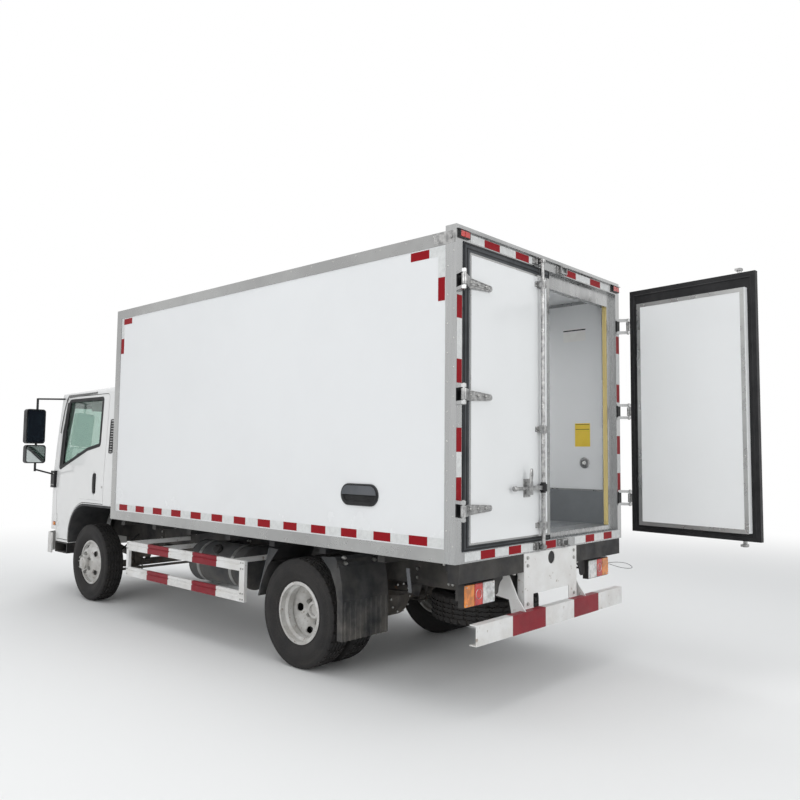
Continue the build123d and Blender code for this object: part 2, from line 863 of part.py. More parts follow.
def rear_frame():
    ring = block((box_rear_x, body_rear_x), (-body_half, body_half), (box_bottom, header_top))
    clear = body_half - jamb_width
    pocket = body_half - post_face
    ring -= block((box_rear_x - 1, body_rear_x + 1), (-clear, clear), (load_floor, opening_top))
    ring -= block((box_rear_x - 1, box_rear_x + rebate_depth), (-pocket, pocket),
                  (sill_top, header_bottom))
    ring += across([
        (box_rear_x, rain_lip_z), (box_rear_x - rain_lip_depth, rain_lip_z - 2),
        (box_rear_x - rain_lip_depth, rain_lip_z + 3), (box_rear_x, rain_lip_z + rain_lip_height),
    ], -body_half, body_half)
    pin_x = box_rear_x - hinge_pin_back
    pin_y = body_half + hinge_pin_out
    inboard = hinge_knuckle_height / 2 + door_reveal
    for z in hinge_heights:
        for low in (z + inboard, z - inboard - hinge_ear_height):
            ring += pair(upward([
                (box_rear_x, body_half - 45), (box_rear_x, body_half),
                (pin_x + 6, pin_y + hinge_knuckle_radius),
                (pin_x - hinge_knuckle_radius, pin_y + 4),
                (pin_x - 6, pin_y - hinge_knuckle_radius),
            ], low, low + hinge_ear_height))
        reach = inboard + hinge_ear_height
        ring += pair(rod((pin_x, pin_y, z - reach), (pin_x, pin_y, z + reach), hinge_pin_radius))
    for middle in (sill_top - 30, header_bottom + 32):
        for low in (middle - 24, middle + 14):
            ring += pair(block((box_rear_x - 20, box_rear_x),
                               (rod_from_centre - 34, rod_from_centre + 34), (low, low + 10)))
    return ring


# Rear doors, drawn closed on the left
def door_outline():
    # y and z limits of the whole leaf, seal included
    return ((meeting_gap / 2, body_half - post_face - door_reveal),
            (sill_top + door_reveal, header_bottom - door_reveal))


def rear_door_panel():
    (near, far), (low, high) = door_outline()
    face = box_rear_x - door_proud
    cap = block((face, face + door_cap), (near + seal_lip, far - seal_width),
                (low + seal_bottom, high - seal_width))
    clear = body_half - jamb_width
    plug = block((face + door_cap, face + door_cap + door_plug),
                 (near + seal_width, clear - plug_margin / 2),
                 (load_floor + plug_margin, opening_top - plug_margin / 2))
    return cap + plug


def rear_door_seal():
    (near, far), (low, high) = door_outline()
    face = box_rear_x - door_proud
    back = box_rear_x + rebate_depth - door_reveal - 1
    ring = block((face + 4, back), (near, far), (low, high))
    return ring - rear_door_panel()


def rear_door_hardware():
    # the hinge straps and the locking gear of one leaf
    return rear_door_hinges() + rear_door_lock()


def rear_door_hinges():
    face = box_rear_x - door_proud
    pin_x = box_rear_x - hinge_pin_back
    pin_y = body_half + hinge_pin_out
    edge = body_half - post_face - door_reveal
    half = hinge_knuckle_height / 2
    straps = Part()
    for z in hinge_heights:
        knuckle_part = rod((pin_x, pin_y, z - half), (pin_x, pin_y, z + half),
                           hinge_knuckle_radius)
        arm = upward([
            (pin_x - 6, pin_y - 14), (pin_x + 12, pin_y - 10), (face - 4, edge - 4),
            (face, edge - 14), (face - hinge_strap_wall, edge - 44),
        ], z - half, z + half)
        end = edge - hinge_strap_reach
        strap = along([
            (edge - 10, z - half), (edge - 10, z + half), (end, z + hinge_strap_end / 2),
            (end, z - hinge_strap_end / 2),
        ], face - hinge_strap_wall, face)
        piece = knuckle_part + arm + strap
        straps += piece - rod((pin_x, pin_y, z - 60), (pin_x, pin_y, z + 60),
                              hinge_pin_radius + fit_gap)
    return straps


def rear_door_lock():
    face = box_rear_x - door_proud
    x = face - rod_standoff
    y = rod_from_centre
    gear = rod((x, y, rod_bottom), (x, y, rod_top), rod_radius)
    for z in rod_bracket_heights:
        gear += block((x - rod_radius - 4, face), (y - 24, y + 24), (z - 22, z + 22))
    for z in (sill_top - 30, header_bottom + 32):
        gear += block((x - rod_radius, box_rear_x - 12), (y - 20, y + 20), (z - 8, z + 8))
    gear += block((x - 10, x + 8), (y, y + handle_length), (handle_height - 14, handle_height + 14))
    gear += block((x - 12, face), (y + handle_length - 50, y + handle_length - 15),
                  (handle_height - 42, handle_height + 42))
    return gear


def right_door(piece):
    # the right leaf is the left one mirrored, then swung out to where it rests
    pin = (box_rear_x - hinge_pin_back, -body_half - hinge_pin_out, 0)
    return mirror(piece, about=Plane.XZ).rotate(Axis(pin, (0, 0, 1)), rear_door_rest)


# Refrigeration unit
def refrigeration_unit():
    back = box_front_x + trim_proud
    front = back + unit_depth
    half = unit_width / 2
    condenser = across([
        (back, unit_bottom), (front - 60, unit_bottom), (front, unit_bottom + 60),
        (front, unit_top - 120), (front - 120, unit_top), (back, unit_top),
    ], -half, half)
    condenser += block((box_front_x, back), (-half, half), (unit_bottom + 20, unit_top - 70))
    for side in (-1, 1):
        fan = rod((front - 40, side * unit_width / 4, unit_bottom + 165),
                  (front + 1, side * unit_width / 4, unit_bottom + 165), 120)
        condenser -= fan
    inside = box_front_x - box_wall
    ceiling = box_top - trim_proud - box_wall
    evaporator = across([
        (inside, ceiling), (inside, ceiling - 230), (inside - 90, ceiling - 230),
        (inside - 330, ceiling - 110), (inside - 330, ceiling),
    ], -520, 520)
    return Part() + condenser + evaporator


def side_vent():
    length = 335.0
    height = 140.0
    middle_x = -697.0
    middle_z = 1242.0
    hood = Plane(origin=(middle_x, wall_outer, middle_z), x_dir=(1, 0, 0), z_dir=(0, -1, 0))
    plate = hood * extrude(SlotOverall(length, height), amount=-9)
    return plate - hood * Pos(0, 0, -3) * extrude(SlotOverall(length - 50, height - 50), amount=-9)


# Cab
def cab_side_view():
    lean = math.tan(math.radians(windscreen_lean))
    ahead = cab_front_x + 8
    roof_front = cab_roof - roof_drop
    return [
        (cab_rear_x, cab_platform), (cab_rear_x, cab_roof),
        (ahead - lean * (roof_front - brow_z), roof_front), (ahead, brow_z),
        (ahead, nose_bottom + 45), (ahead - 45, nose_bottom), (nose_rear_x, nose_bottom),
        (nose_rear_x, cab_floor_bottom), (arch_front_x, cab_floor_bottom),
        (arch_front_x, cab_platform),
    ]


cab_side_radii = [0, 60, roof_front_radius, 0, 0, 0, 0, 0, 0, arch_radius]


def cab_end_view():
    # sides bowed outward to their widest below the waist, then leaning in to the roof
    sill = cab_sill_width / 2
    widest = cab_width / 2 + cab_side_bow
    top = cab_roof_width / 2
    return [
        (-sill, 400), (-widest, 1150), (-top, cab_roof), (top, cab_roof), (widest, 1150),
        (sill, 400),
    ]


cab_end_radii = [0, 6000, 70, 70, 6000, 0]


def cab_plan():
    # a bowed nose between rounded corners; the sides stand clear of the end view's
    half = cab_width / 2 + 3
    rear = cab_rear_x - 100
    apex = cab_front_x + nose_bow_radius * (1 / math.cos(math.atan(nose_bow / half)) - 1)
    return [(rear, half), (apex - nose_bow, half), (apex, 0), (apex - nose_bow, -half),
            (rear, -half)]


cab_plan_radii = [0, cab_corner_radius, nose_bow_radius, cab_corner_radius, 0]


def view_face(path, radii, inset):
    face = closed_face(path, radii)
    return offset(face, amount=-inset, kind=Kind.INTERSECTION) if inset else face


def cab_form(inset):
    # the cab's side, end and plan views, met; the inset draws every face inward
    side = view_face([(x, -cab_width, z) for x, z in cab_side_view()], cab_side_radii, inset)
    form = extrude(side, amount=2 * cab_width, dir=(0, 1, 0))
    end = view_face([(cab_rear_x - 100, y, z) for y, z in cab_end_view()], cab_end_radii, inset)
    form &= extrude(end, amount=cab_front_x - cab_rear_x + 300, dir=(1, 0, 0))
    plan = view_face([(x, y, brow_z) for x, y in cab_plan()], cab_plan_radii, inset)
    # upright below the brow, leaning back with the windscreen above it
    lean = math.tan(math.radians(windscreen_lean))
    form &= extrude(plan, amount=cab_roof, dir=(0, 0, 1), both=True)
    slant = math.hypot(lean, 1)
    form &= extrude(plan, amount=cab_roof * slant, dir=(-lean / slant, 0, 1 / slant), both=True)
    return form


def tunnel(grown):
    # the space over the ladder frame that the cab straddles
    half = tunnel_width / 2 + grown
    return block((cab_rear_x - 500, tunnel_front_x + grown), (-half, half),
                 (0, tunnel_top + grown))


def cab_door_outline():
    # the lower edge follows the wheel arch, a lip's width above it
    return [
        (door_rear_x, cab_platform + arch_lip), (door_rear_x, door_top),
        (pillar_head_x, door_top), (pillar_bend_x, pillar_bend_z),
        (door_front_x, pillar_foot_z), (door_front_x, door_bottom),
        (arch_front_x + arch_lip, door_bottom), (arch_front_x + arch_lip, cab_platform + arch_lip),
    ]


cab_door_radii = [0, 50, 110, 300, 0, 30, 0, arch_radius + arch_lip]


def cab_window_outline():
    # the sill steps down toward the front, as on the door's glass line
    margin = window_margin
    rear = door_rear_x + window_rear_margin
    return [
        (rear, door_top - margin), (pillar_head_x - margin / 2, door_top - margin),
        (pillar_bend_x - margin, pillar_bend_z), (door_front_x - margin, pillar_foot_z + 5),
        (rear + window_step, window_rear_sill - 45), (rear, window_rear_sill),
    ]


cab_window_radii = [25, 70, 120, 20, 90, 25]


def handle_pocket():
    # the recess behind the outside pull
    floor_y = cab_width / 2 + cab_side_bow - handle_well_depth
    face = Plane(origin=(wheelbase + handle_x, floor_y, handle_z), x_dir=(0, 0, 1),
                 z_dir=(0, 1, 0))
    return face * extrude(SlotOverall(handle_well_height, handle_well_width), amount=60)


def screen_aperture():
    half = windscreen_width / 2
    return along([(-half, cab_waist + 10), (-half + 60, 2010), (half - 60, 2010),
                  (half, cab_waist + 10)], pillar_head_x - 95, cab_front_x + 100, 50)


def back_aperture():
    return along([(-450, 1560), (-450, 1960), (450, 1960), (450, 1560)], cab_rear_x - 100,
                 cab_rear_x + 180, 50)


def both_sides(outline, radii=0, inset=0):
    # a side view drawn in by the inset, as a cutter through both sides of the cab
    face = closed_face([(x, 700, z) for x, z in outline], radii)
    if inset:
        face = offset(face, amount=-inset, kind=Kind.INTERSECTION)
    return pair(extrude(face, amount=300, dir=(0, 1, 0)))


def cab_shell():
    # floor, back, roof, nose and side frames as one skin, before it is split
    skin = (cab_form(0) - tunnel(0)) - (cab_form(cab_skin) - tunnel(cab_skin))
    skin -= screen_aperture()
    skin -= back_aperture()
    return skin


def cab_pieces():
    skin = cab_shell()
    sill_zone = block((0, 2 * cab_front_x), (-cab_door_inner, cab_door_inner),
                      (0, cab_platform + cab_skin + 2))
    opening = both_sides(cab_door_outline(), cab_door_radii) - sill_zone
    # the leaf is an outer flange over a smaller inner box, which clears the hole as it swings
    leaf_zone = both_sides(cab_door_outline(), cab_door_radii, door_gap) - cab_form(door_lip)
    leaf_zone += both_sides(cab_door_outline(), cab_door_radii, door_gap + door_rebate)
    leaf_zone -= block((0, 2 * cab_front_x), (-cab_door_inner - door_gap, cab_door_inner + door_gap),
                       (0, cab_platform + cab_skin + 2))
    window = both_sides(cab_window_outline(), cab_window_radii)
    door = (skin & leaf_zone) - window - pair(door_hinge_pockets()) - pair(handle_pocket())
    door += pair(door_barrels())
    frame = skin - opening
    pieces = {}
    behind = cab_rear_x - 500
    ahead = cab_front_x + 500
    roof_zone = block((behind, ahead), (-cab_width, cab_width), (door_top + 3, cab_roof + 100))
    pieces["cab_roof"] = frame & roof_zone
    frame -= roof_zone
    back_zone = block((behind, cab_rear_x + cab_skin), (-cab_width, cab_width),
                      (0, cab_roof + 100))
    pieces["cab_back"] = frame & back_zone
    frame -= back_zone
    nose_zone = block((nose_rear_x + 20, ahead), (-cab_width, cab_width), (0, cab_waist - 60))
    floor_half = cab_width / 2 - cab_skin
    floor_zone = block((behind, ahead), (-floor_half, floor_half), (0, cab_platform + cab_skin))
    # the floor stops at the inside of the bowed nose
    inner_plan = view_face([(x, y, 0) for x, y in cab_plan()], cab_plan_radii, cab_skin)
    floor_zone &= extrude(inner_plan, amount=cab_roof, dir=(0, 0, 1))
    pieces["cab_floor"] = (frame & floor_zone) + tilt_arms()
    frame -= floor_zone
    nose = frame & nose_zone
    frame -= nose_zone
    pieces["cab_side_frames"] = frame + pair(door_hinge_ears())
    grille_zone = block((cab_front_x - 205, ahead), (-460, 460), (745, 975))
    lamp_zone = pair(block((cab_front_x - 305, ahead), (560, 810), (765, 960)))
    pieces["headlamps"] = nose & lamp_zone
    pieces["cab_front"] = nose - grille_zone - lamp_zone
    pieces["grille"] = grille(grille_zone)
    slab = cab_form(cab_skin / 2 - glass_wall / 2) - cab_form(cab_skin / 2 + glass_wall / 2)
    pieces["cab_glass"] = slab & (screen_aperture() + back_aperture())
    pieces["cab_doors"] = door
    pieces["cab_door_glass"] = slab & window
    return pieces


def half_of(shape, side):
    low, high = sorted((0, side * cab_width))
    return shape & block((0, 2 * cab_front_x), (low, high), (0, 2 * cab_roof))


def door_barrels():
    # the door's own hinge barrels with their tabs, on the left
    reach = door_barrel_radius + moving_gap
    barrels = Part()
    for middle in door_hinge_heights:
        low, high = middle - door_barrel_height / 2, middle + door_barrel_height / 2
        barrel = rod((door_pin_x, door_pin_y, low), (door_pin_x, door_pin_y, high),
                     door_barrel_radius)
        barrel += block((door_pin_x - reach - 4, door_pin_x),
                        (door_pin_y - door_barrel_radius, cab_width / 2), (low, high))
        barrels += barrel - rod((door_pin_x, door_pin_y, low - 1),
                                (door_pin_x, door_pin_y, high + 1), door_pin_radius + fit_gap)
    return barrels


def door_hinge_ears():
    # two ears on the pillar for each barrel, with the pin through them
    ears = Part()
    start = door_barrel_height / 2 + 3
    for middle in door_hinge_heights:
        for low in (middle + start, middle - start - door_ear_height):
            high = low + door_ear_height
            ears += rod((door_pin_x, door_pin_y, low), (door_pin_x, door_pin_y, high),
                        door_barrel_radius)
            ears += block((door_pin_x, door_front_x + 4),
                          (door_pin_y - door_barrel_radius, cab_width / 2), (low, high))
        reach = start + door_ear_height
        ears += rod((door_pin_x, door_pin_y, middle - reach),
                    (door_pin_x, door_pin_y, middle + reach), door_pin_radius)
    return ears


def door_hinge_pockets():
    # room round each hinge in the edge of the leaf
    reach = door_barrel_radius + moving_gap
    tall = door_barrel_height / 2 + 3 + door_ear_height + moving_gap
    pockets = Part()
    for middle in door_hinge_heights:
        pockets += block((door_pin_x - reach, door_front_x),
                         (door_pin_y - reach, cab_width / 2 + 2 * cab_side_bow),
                         (middle - tall, middle + tall))
    return pockets


def grille(zone):
    panel = (cab_form(grille_inset) - cab_form(grille_inset + grille_wall)) & zone
    for slot in range(grille_slots):
        low = 745 + grille_margin + slot * grille_pitch
        panel -= block((cab_front_x - 205, cab_front_x + 10), (-435, 435),
                       (low, low + 0.6 * grille_pitch))
    return panel


def tilt_arms():
    low = tunnel_width / 2
    arm = across([
        (tilt_pin_x - 160, nose_bottom + 4), (tilt_pin_x - 40, nose_bottom + 4),
        (tilt_pin_x + 26, tilt_pin_z + 14),
        (tilt_pin_x + 20, tilt_pin_z - 22), (tilt_pin_x - 20, tilt_pin_z - 24),
    ], low, low + 24)
    arm -= rod((tilt_pin_x, low - 1, tilt_pin_z), (tilt_pin_x, low + 30, tilt_pin_z),
               tilt_pin_radius + fit_gap)
    return pair(arm)


# limits of each head across and up, and its depth ahead of the glass
MirrorHead = namedtuple("MirrorHead", "inner outer bottom top depth")
mirror_heads = (
    MirrorHead(1004.0, 1204.0, 1576.0, 1946.0, 60.0),
    MirrorHead(990.0, 1200.0, 1366.0, 1562.0, 50.0),
)


def mirrors():
    # two rounded heads on an upright arm, from the waist bracket to the top of the pillar
    x = cab_front_x - mirror_back
    y = cab_width / 2 + mirror_reach
    post = rod((x, y, 1280), (x, y, mirror_arm_top), 12)
    post += rod((x - 70, cab_width / 2 - 15, 1235), (x, y, 1300), 9)
    post += rod((x, y, mirror_arm_top - 6), (x - 150, cab_width / 2 - 85, mirror_arm_top + 2), 9)
    post += block((door_front_x + 12, x), (cab_width / 2 - 45, cab_width / 2 + 33), (1105, 1285))
    post -= cab_form(0)
    head = Part()
    for row in mirror_heads:
        outline = [(row.inner, row.bottom), (row.outer, row.bottom), (row.outer, row.top),
                   (row.inner, row.top)]
        head += along(outline, x - 15, x + row.depth, mirror_corner)
    return pair(post + head)


def dashboard():
    rear = door_front_x - 115
    half = cab_width / 2 - cab_skin - dash_gap
    top = across([
        (rear + 350, 1180), (rear + 280, 1330), (rear + 60, 1330), (rear, 1270),
        (rear + 20, 1090), (rear + 150, 1020), (rear + 300, 1020),
    ], -half, half)
    return (top & cab_form(cab_skin)) + steering_wheel()


def steering_wheel():
    centre = (wheelbase + 440, 420, 1400)
    tilt = Plane(origin=centre, z_dir=(-0.60, 0, 0.80))
    ring = tilt * turned([(196, -11), (220, -11), (220, 11), (196, 11)])
    spoke = tilt * (Box(400, 36, 12) + extrude(Circle(48), amount=22, both=True))
    column = tilt * Pos(0, 0, -260) * extrude(Circle(26), amount=260)
    return ring + spoke + column


def seats():
    base = cab_platform + cab_skin
    rear = cab_rear_x + 230
    group = Part()
    for low, high in ((170, 670), (-700, 120)):
        group += across([
            (rear, base + 40), (rear, base + 190), (rear + 490, base + 210), (rear + 500, base + 40),
        ], low, high, 30)
        group += across([
            (rear - 150, base + 190), (rear - 160, base + 820), (rear - 70, base + 820),
            (rear, base + 190), (rear, base + 60), (rear - 90, base + 60),
        ], low, high)
        group += block((rear + 10, rear + 480), (low + 30, high - 30), (base, base + 42))
    return group


def export(shapes):
    os.makedirs("parts", exist_ok=True)
    for name, shape in shapes.items():
        export_step(shape, f"parts/{name}.step")


def build():
    shapes = {}
    front_y = front_track / 2
    rear_y = rear_track / 2
    for side, word in ((1, "left"), (-1, "right")):
        shapes[f"front_{word}_tyre"] = on_axle(tyre(), wheelbase, side * front_y)
        shapes[f"front_{word}_rim"] = on_axle(front_rim(), wheelbase, side * front_y)
        shapes[f"rear_{word}_tyres"] = on_axle(rear_tyres(), 0, side * rear_y)
        shapes[f"rear_{word}_rims"] = on_axle(rear_rims(), 0, side * rear_y)
    shapes["left_knuckle"] = knuckle()
    shapes["right_knuckle"] = mirror(knuckle(), about=Plane.XZ)
    shapes["tie_rod"] = tie_rod()
    shapes["front_axle"] = front_axle()
    shapes["rear_axle"] = rear_axle()
    shapes["leaf_springs"] = leaf_springs()
    shapes["frame_rails"] = frame_rails()
    shapes["cross_members"] = cross_members()
    shapes["engine"] = engine()
    shapes["drive_shaft"] = drive_shaft()
    shapes["fuel_tank"] = fuel_tank()
    shapes["battery_box"] = battery_box()
    shapes["exhaust"] = exhaust()
    shapes["guards"] = guards()
    shapes["rear_plate"] = rear_plate()
    shapes["rear_lamps"] = rear_lamps()
    shapes["rear_mudguards"] = rear_mudguards()
    shapes["spare_wheel"] = spare_wheel()
    shapes["front_bumper"] = front_bumper()
    shapes["cab_steps"] = cab_steps()
    shapes["box_floor"] = box_floor()
    shapes["floor_sheet"] = floor_sheet()
    shapes["kick_plates"] = kick_plates()
    shapes["box_bearers"] = bearers()
    shapes["box_side_walls"] = side_walls()
    shapes["box_front_wall"] = front_wall()
    shapes["box_roof"] = box_roof()
    shapes["box_trims"] = box_trims()
    shapes["rear_frame"] = rear_frame()
    shapes["refrigeration_unit"] = refrigeration_unit()
    shapes["side_vent"] = side_vent()
    cab = cab_pieces()
    doors = cab.pop("cab_doors")
    glass = cab.pop("cab_door_glass")
    for side, word in ((1, "left"), (-1, "right")):
        shapes[f"cab_door_{word}"] = half_of(doors, side)
        shapes[f"cab_door_{word}_glass"] = half_of(glass, side)
    shapes.update(cab)
    shapes["mirrors"] = mirrors()
    shapes["dashboard"] = dashboard()
    shapes["seats"] = seats()
    leaf_pieces = {
        "panel": rear_door_panel(), "seal": rear_door_seal(), "hardware": rear_door_hardware(),
    }
    for word, shape in leaf_pieces.items():
        shapes[f"rear_door_left_{word}"] = shape
        shapes[f"rear_door_right_{word}"] = right_door(shape)
    return shapes


export(build())
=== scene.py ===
import math
import bmesh
import bpy
from mathutils import Matrix, Vector


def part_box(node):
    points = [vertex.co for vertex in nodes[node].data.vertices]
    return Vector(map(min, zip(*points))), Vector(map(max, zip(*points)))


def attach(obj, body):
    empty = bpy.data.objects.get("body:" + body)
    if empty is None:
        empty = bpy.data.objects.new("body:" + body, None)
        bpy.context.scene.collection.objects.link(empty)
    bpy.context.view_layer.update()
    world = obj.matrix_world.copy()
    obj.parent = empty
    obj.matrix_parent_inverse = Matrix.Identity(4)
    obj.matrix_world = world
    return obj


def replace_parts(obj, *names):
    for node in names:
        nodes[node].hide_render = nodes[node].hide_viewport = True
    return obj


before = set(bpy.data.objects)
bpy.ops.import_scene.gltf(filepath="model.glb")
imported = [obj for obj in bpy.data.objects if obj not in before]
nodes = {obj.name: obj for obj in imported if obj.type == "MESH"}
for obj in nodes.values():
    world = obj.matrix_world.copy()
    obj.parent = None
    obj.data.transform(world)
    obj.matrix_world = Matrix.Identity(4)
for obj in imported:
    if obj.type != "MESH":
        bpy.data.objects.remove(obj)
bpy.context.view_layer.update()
print("stage: truck frame loaded,", len(nodes), "nodes")


# Camera, light and floor

cameraSetup = {
    "eye": (-4.137, 4.438, 1.506),
    "turn": -47.7,      # degrees from straight ahead
    "tilt": 4.1,        # degrees above level
    "roll": 0.57,
    "lens": 33.75,
}


def placeCamera():
    data = bpy.data.cameras.new("yardCamera")
    data.sensor_width = 36
    data.lens = cameraSetup["lens"]
    camera = bpy.data.objects.new("yardCamera", data)
    bpy.context.scene.collection.objects.link(camera)
    turn = Matrix.Rotation(math.radians(cameraSetup["turn"] - 90), 4, "Z")
    tilt = Matrix.Rotation(math.radians(90 + cameraSetup["tilt"]), 4, "X")
    roll = Matrix.Rotation(math.radians(cameraSetup["roll"]), 4, "Z")
    camera.matrix_world = Matrix.Translation(cameraSetup["eye"]) @ turn @ tilt @ roll
    bpy.context.scene.camera = camera
    bpy.context.scene.view_settings.view_transform = "Standard"


lampSetup = {
    # name: place, aimed at, size, watts
    "roofLight": ((0.5, 0.5, 8.0), (1.0, 0.0, 0.5), 9.0, 320),
    "sideLight": ((-1.5, 8.5, 4.5), (1.0, 0.5, 1.2), 6.0, 190),
    "rearLight": ((-8.5, 0.5, 4.0), (0.0, 0.0, 1.4), 5.0, 160),
    "frontLight": ((9.0, -4.5, 4.5), (3.0, 0.0, 1.2), 5.0, 160),
    "roomLight": ((0.4, 0.0, 2.68), (0.4, 0.0, 1.0), 0.9, 24),
}


def placeLamps():
    for name, (spot, target, size, watts) in lampSetup.items():
        data = bpy.data.lights.new(name, "AREA")
        data.shape = "DISK"
        data.size = size
        data.energy = watts
        lamp = bpy.data.objects.new(name, data)
        lamp.location = spot
        aim = Vector(target) - Vector(spot)
        lamp.rotation_euler = aim.to_track_quat("-Z", "Y").to_euler()
        bpy.context.scene.collection.objects.link(lamp)


surroundSetup = {
    # the light that falls on the truck, and the white that is seen behind it
    "ambient": ((0.93, 0.96, 1.0), 0.55),
    "backdrop": ((1.0, 1.0, 1.0), 1.0),
    "floorColour": (0.8, 0.8, 0.79), "floorRough": 0.7, "floorHalf": 60,
    "floorFade": (4.5, 12.0),   # metres from the origin
}


def mixShaders(tree, share, first, second, surface):
    mix = tree.nodes.new("ShaderNodeMixShader")
    for socket, source in zip(mix.inputs, (share, first, second)):
        tree.links.new(source, socket)
    tree.links.new(mix.outputs[0], surface)


def whiteSurround():
    world = bpy.data.worlds.new("workshopSky")
    bpy.context.scene.world = world
    world.use_nodes = True
    tree = world.node_tree
    tree.nodes.clear()
    rays = tree.nodes.new("ShaderNodeLightPath").outputs
    seen = combine(tree, "MAXIMUM", rays["Is Camera Ray"], rays["Is Glossy Ray"])
    seen = combine(tree, "MAXIMUM", seen, rays["Is Transmission Ray"])
    skies = []
    for name in ("ambient", "backdrop"):
        colour, strength = surroundSetup[name]
        sky = tree.nodes.new("ShaderNodeBackground")
        sky.inputs["Color"].default_value = (*colour, 1)
        sky.inputs["Strength"].default_value = strength
        skies.append(sky.outputs[0])
    output = tree.nodes.new("ShaderNodeOutputWorld")
    mixShaders(tree, seen, *skies, output.inputs["Surface"])


def layFloor():
    s = surroundSetup
    form = bmesh.new()
    bmesh.ops.create_grid(form, x_segments=1, y_segments=1, size=s["floorHalf"])
    data = bpy.data.meshes.new("workshopFloor")
    form.to_mesh(data)
    form.free()
    floor = bpy.data.objects.new("workshopFloor", data)
    bpy.context.scene.collection.objects.link(floor)
    material, tree, shader, place = newFinish("paleFloor")
    shader.inputs["Base Color"].default_value = (*s["floorColour"], 1)
    shader.inputs["Roughness"].default_value = s["floorRough"]
    # far from the truck the floor turns into the white surround, for what sees it directly
    length = tree.nodes.new("ShaderNodeVectorMath")
    length.operation = "LENGTH"
    tree.links.new(place, length.inputs[0])
    rays = tree.nodes.new("ShaderNodeLightPath").outputs
    direct = combine(tree, "MAXIMUM", rays["Is Camera Ray"], rays["Is Glossy Ray"])
    share = combine(tree, "MULTIPLY", fade(tree, length.outputs["Value"], *s["floorFade"]), direct)
    white = tree.nodes.new("ShaderNodeEmission").outputs[0]
    mixShaders(tree, share, shader.outputs[0], white, tree.nodes["Material Output"].inputs["Surface"])
    data.materials.append(material)


# Finish makers

def newFinish(name):
    material = bpy.data.materials.new(name)
    material.use_nodes = True
    tree = material.node_tree
    place = tree.nodes.new("ShaderNodeTexCoord").outputs["Object"]
    return material, tree, tree.nodes["Principled BSDF"], place


def noise(tree, place, scale, detail=4.0, stretch=None):
    if stretch:
        mapping = tree.nodes.new("ShaderNodeMapping")
        mapping.inputs["Scale"].default_value = stretch
        tree.links.new(place, mapping.inputs["Vector"])
        place = mapping.outputs["Vector"]
    node = tree.nodes.new("ShaderNodeTexNoise")
    node.inputs["Scale"].default_value = scale
    node.inputs["Detail"].default_value = detail
    node.inputs["Roughness"].default_value = 0.6
    tree.links.new(place, node.inputs["Vector"])
    return node.outputs["Fac"]


def fade(tree, value, start, end, low=0.0, high=1.0):
    node = tree.nodes.new("ShaderNodeMapRange")
    node.interpolation_type = "SMOOTHSTEP"
    for key, number in (("From Min", start), ("From Max", end), ("To Min", low), ("To Max", high)):
        node.inputs[key].default_value = number
    tree.links.new(value, node.inputs["Value"])
    return node.outputs["Result"]


def combine(tree, kind, first, second):
    node = tree.nodes.new("ShaderNodeMath")
    node.operation = kind
    for socket, value in zip(node.inputs, (first, second)):
        if isinstance(value, (int, float)):
            socket.default_value = value
        else:
            tree.links.new(value, socket)
    return node.outputs[0]


def blendColour(tree, factor, first, second):
    node = tree.nodes.new("ShaderNodeMix")
    node.data_type = "RGBA"
    tree.links.new(factor, node.inputs["Factor"])
    for socket, value in ((node.inputs[6], first), (node.inputs[7], second)):
        if isinstance(value, tuple):
            socket.default_value = (*value, 1)
        else:
            tree.links.new(value, socket)
    return node.outputs[2]


def emboss(tree, shader, height, strength, distance):
    node = tree.nodes.new("ShaderNodeBump")
    node.inputs["Strength"].default_value = strength
    node.inputs["Distance"].default_value = distance
    tree.links.new(height, node.inputs["Height"])
    if shader.inputs["Normal"].is_linked:
        tree.links.new(shader.inputs["Normal"].links[0].from_socket, node.inputs["Normal"])
    tree.links.new(node.outputs["Normal"], shader.inputs["Normal"])


def surface(name, look):
    # mottled colour, uneven gloss, fine grain, and road dust that thins out with height
    colour, second, mottleScale, rough, grain, more = look
    material, tree, shader, place = newFinish(name)
    mottle = noise(tree, place, mottleScale, 5, more.get("stretch"))
    colour = blendColour(tree, fade(tree, mottle, 0.35, 0.65), colour, second)
    smear = noise(tree, place, more.get("smear", 11.0), 3, more.get("stretch"))
    gloss = fade(tree, smear, 0.3, 0.7, *rough)
    if "specks" in more:
        speckColour, speckScale, amount = more["specks"]
        speck = fade(tree, noise(tree, place, speckScale, 6), 1 - amount - 0.06, 1 - amount)
        colour = blendColour(tree, speck, colour, speckColour)
    if "dust" in more:
        amount, top = more["dust"]
        axes = tree.nodes.new("ShaderNodeSeparateXYZ")
        tree.links.new(place, axes.inputs[0])
        height = fade(tree, axes.outputs["Z"], 0.1, top, 1, 0)
        patches = fade(tree, noise(tree, place, 6.5, 6), 0.32, 0.72)
        cover = combine(tree, "MULTIPLY", combine(tree, "MULTIPLY", height, patches), amount)
        colour = blendColour(tree, cover, colour, yardDust)
        gloss = combine(tree, "MINIMUM", combine(tree, "ADD", gloss, cover), 0.95)
    tree.links.new(colour, shader.inputs["Base Color"])
    tree.links.new(gloss, shader.inputs["Roughness"])
    for socket, value in (("Metallic", more.get("metal", 0.0)), ("Coat Weight", more.get("coat", 0.0)),
            ("Coat Roughness", 0.08), ("Specular IOR Level", more.get("shine", 0.5))):
        shader.inputs[socket].default_value = value
    grainScale, grainStrength, grainDepth = grain
    emboss(tree, shader, noise(tree, place, grainScale, 3, more.get("grainStretch")),
           grainStrength, grainDepth)
    if "wave" in more:
        waveScale, waveStrength = more["wave"]
        emboss(tree, shader, noise(tree, place, waveScale, 1), waveStrength, 0.004)
    return material


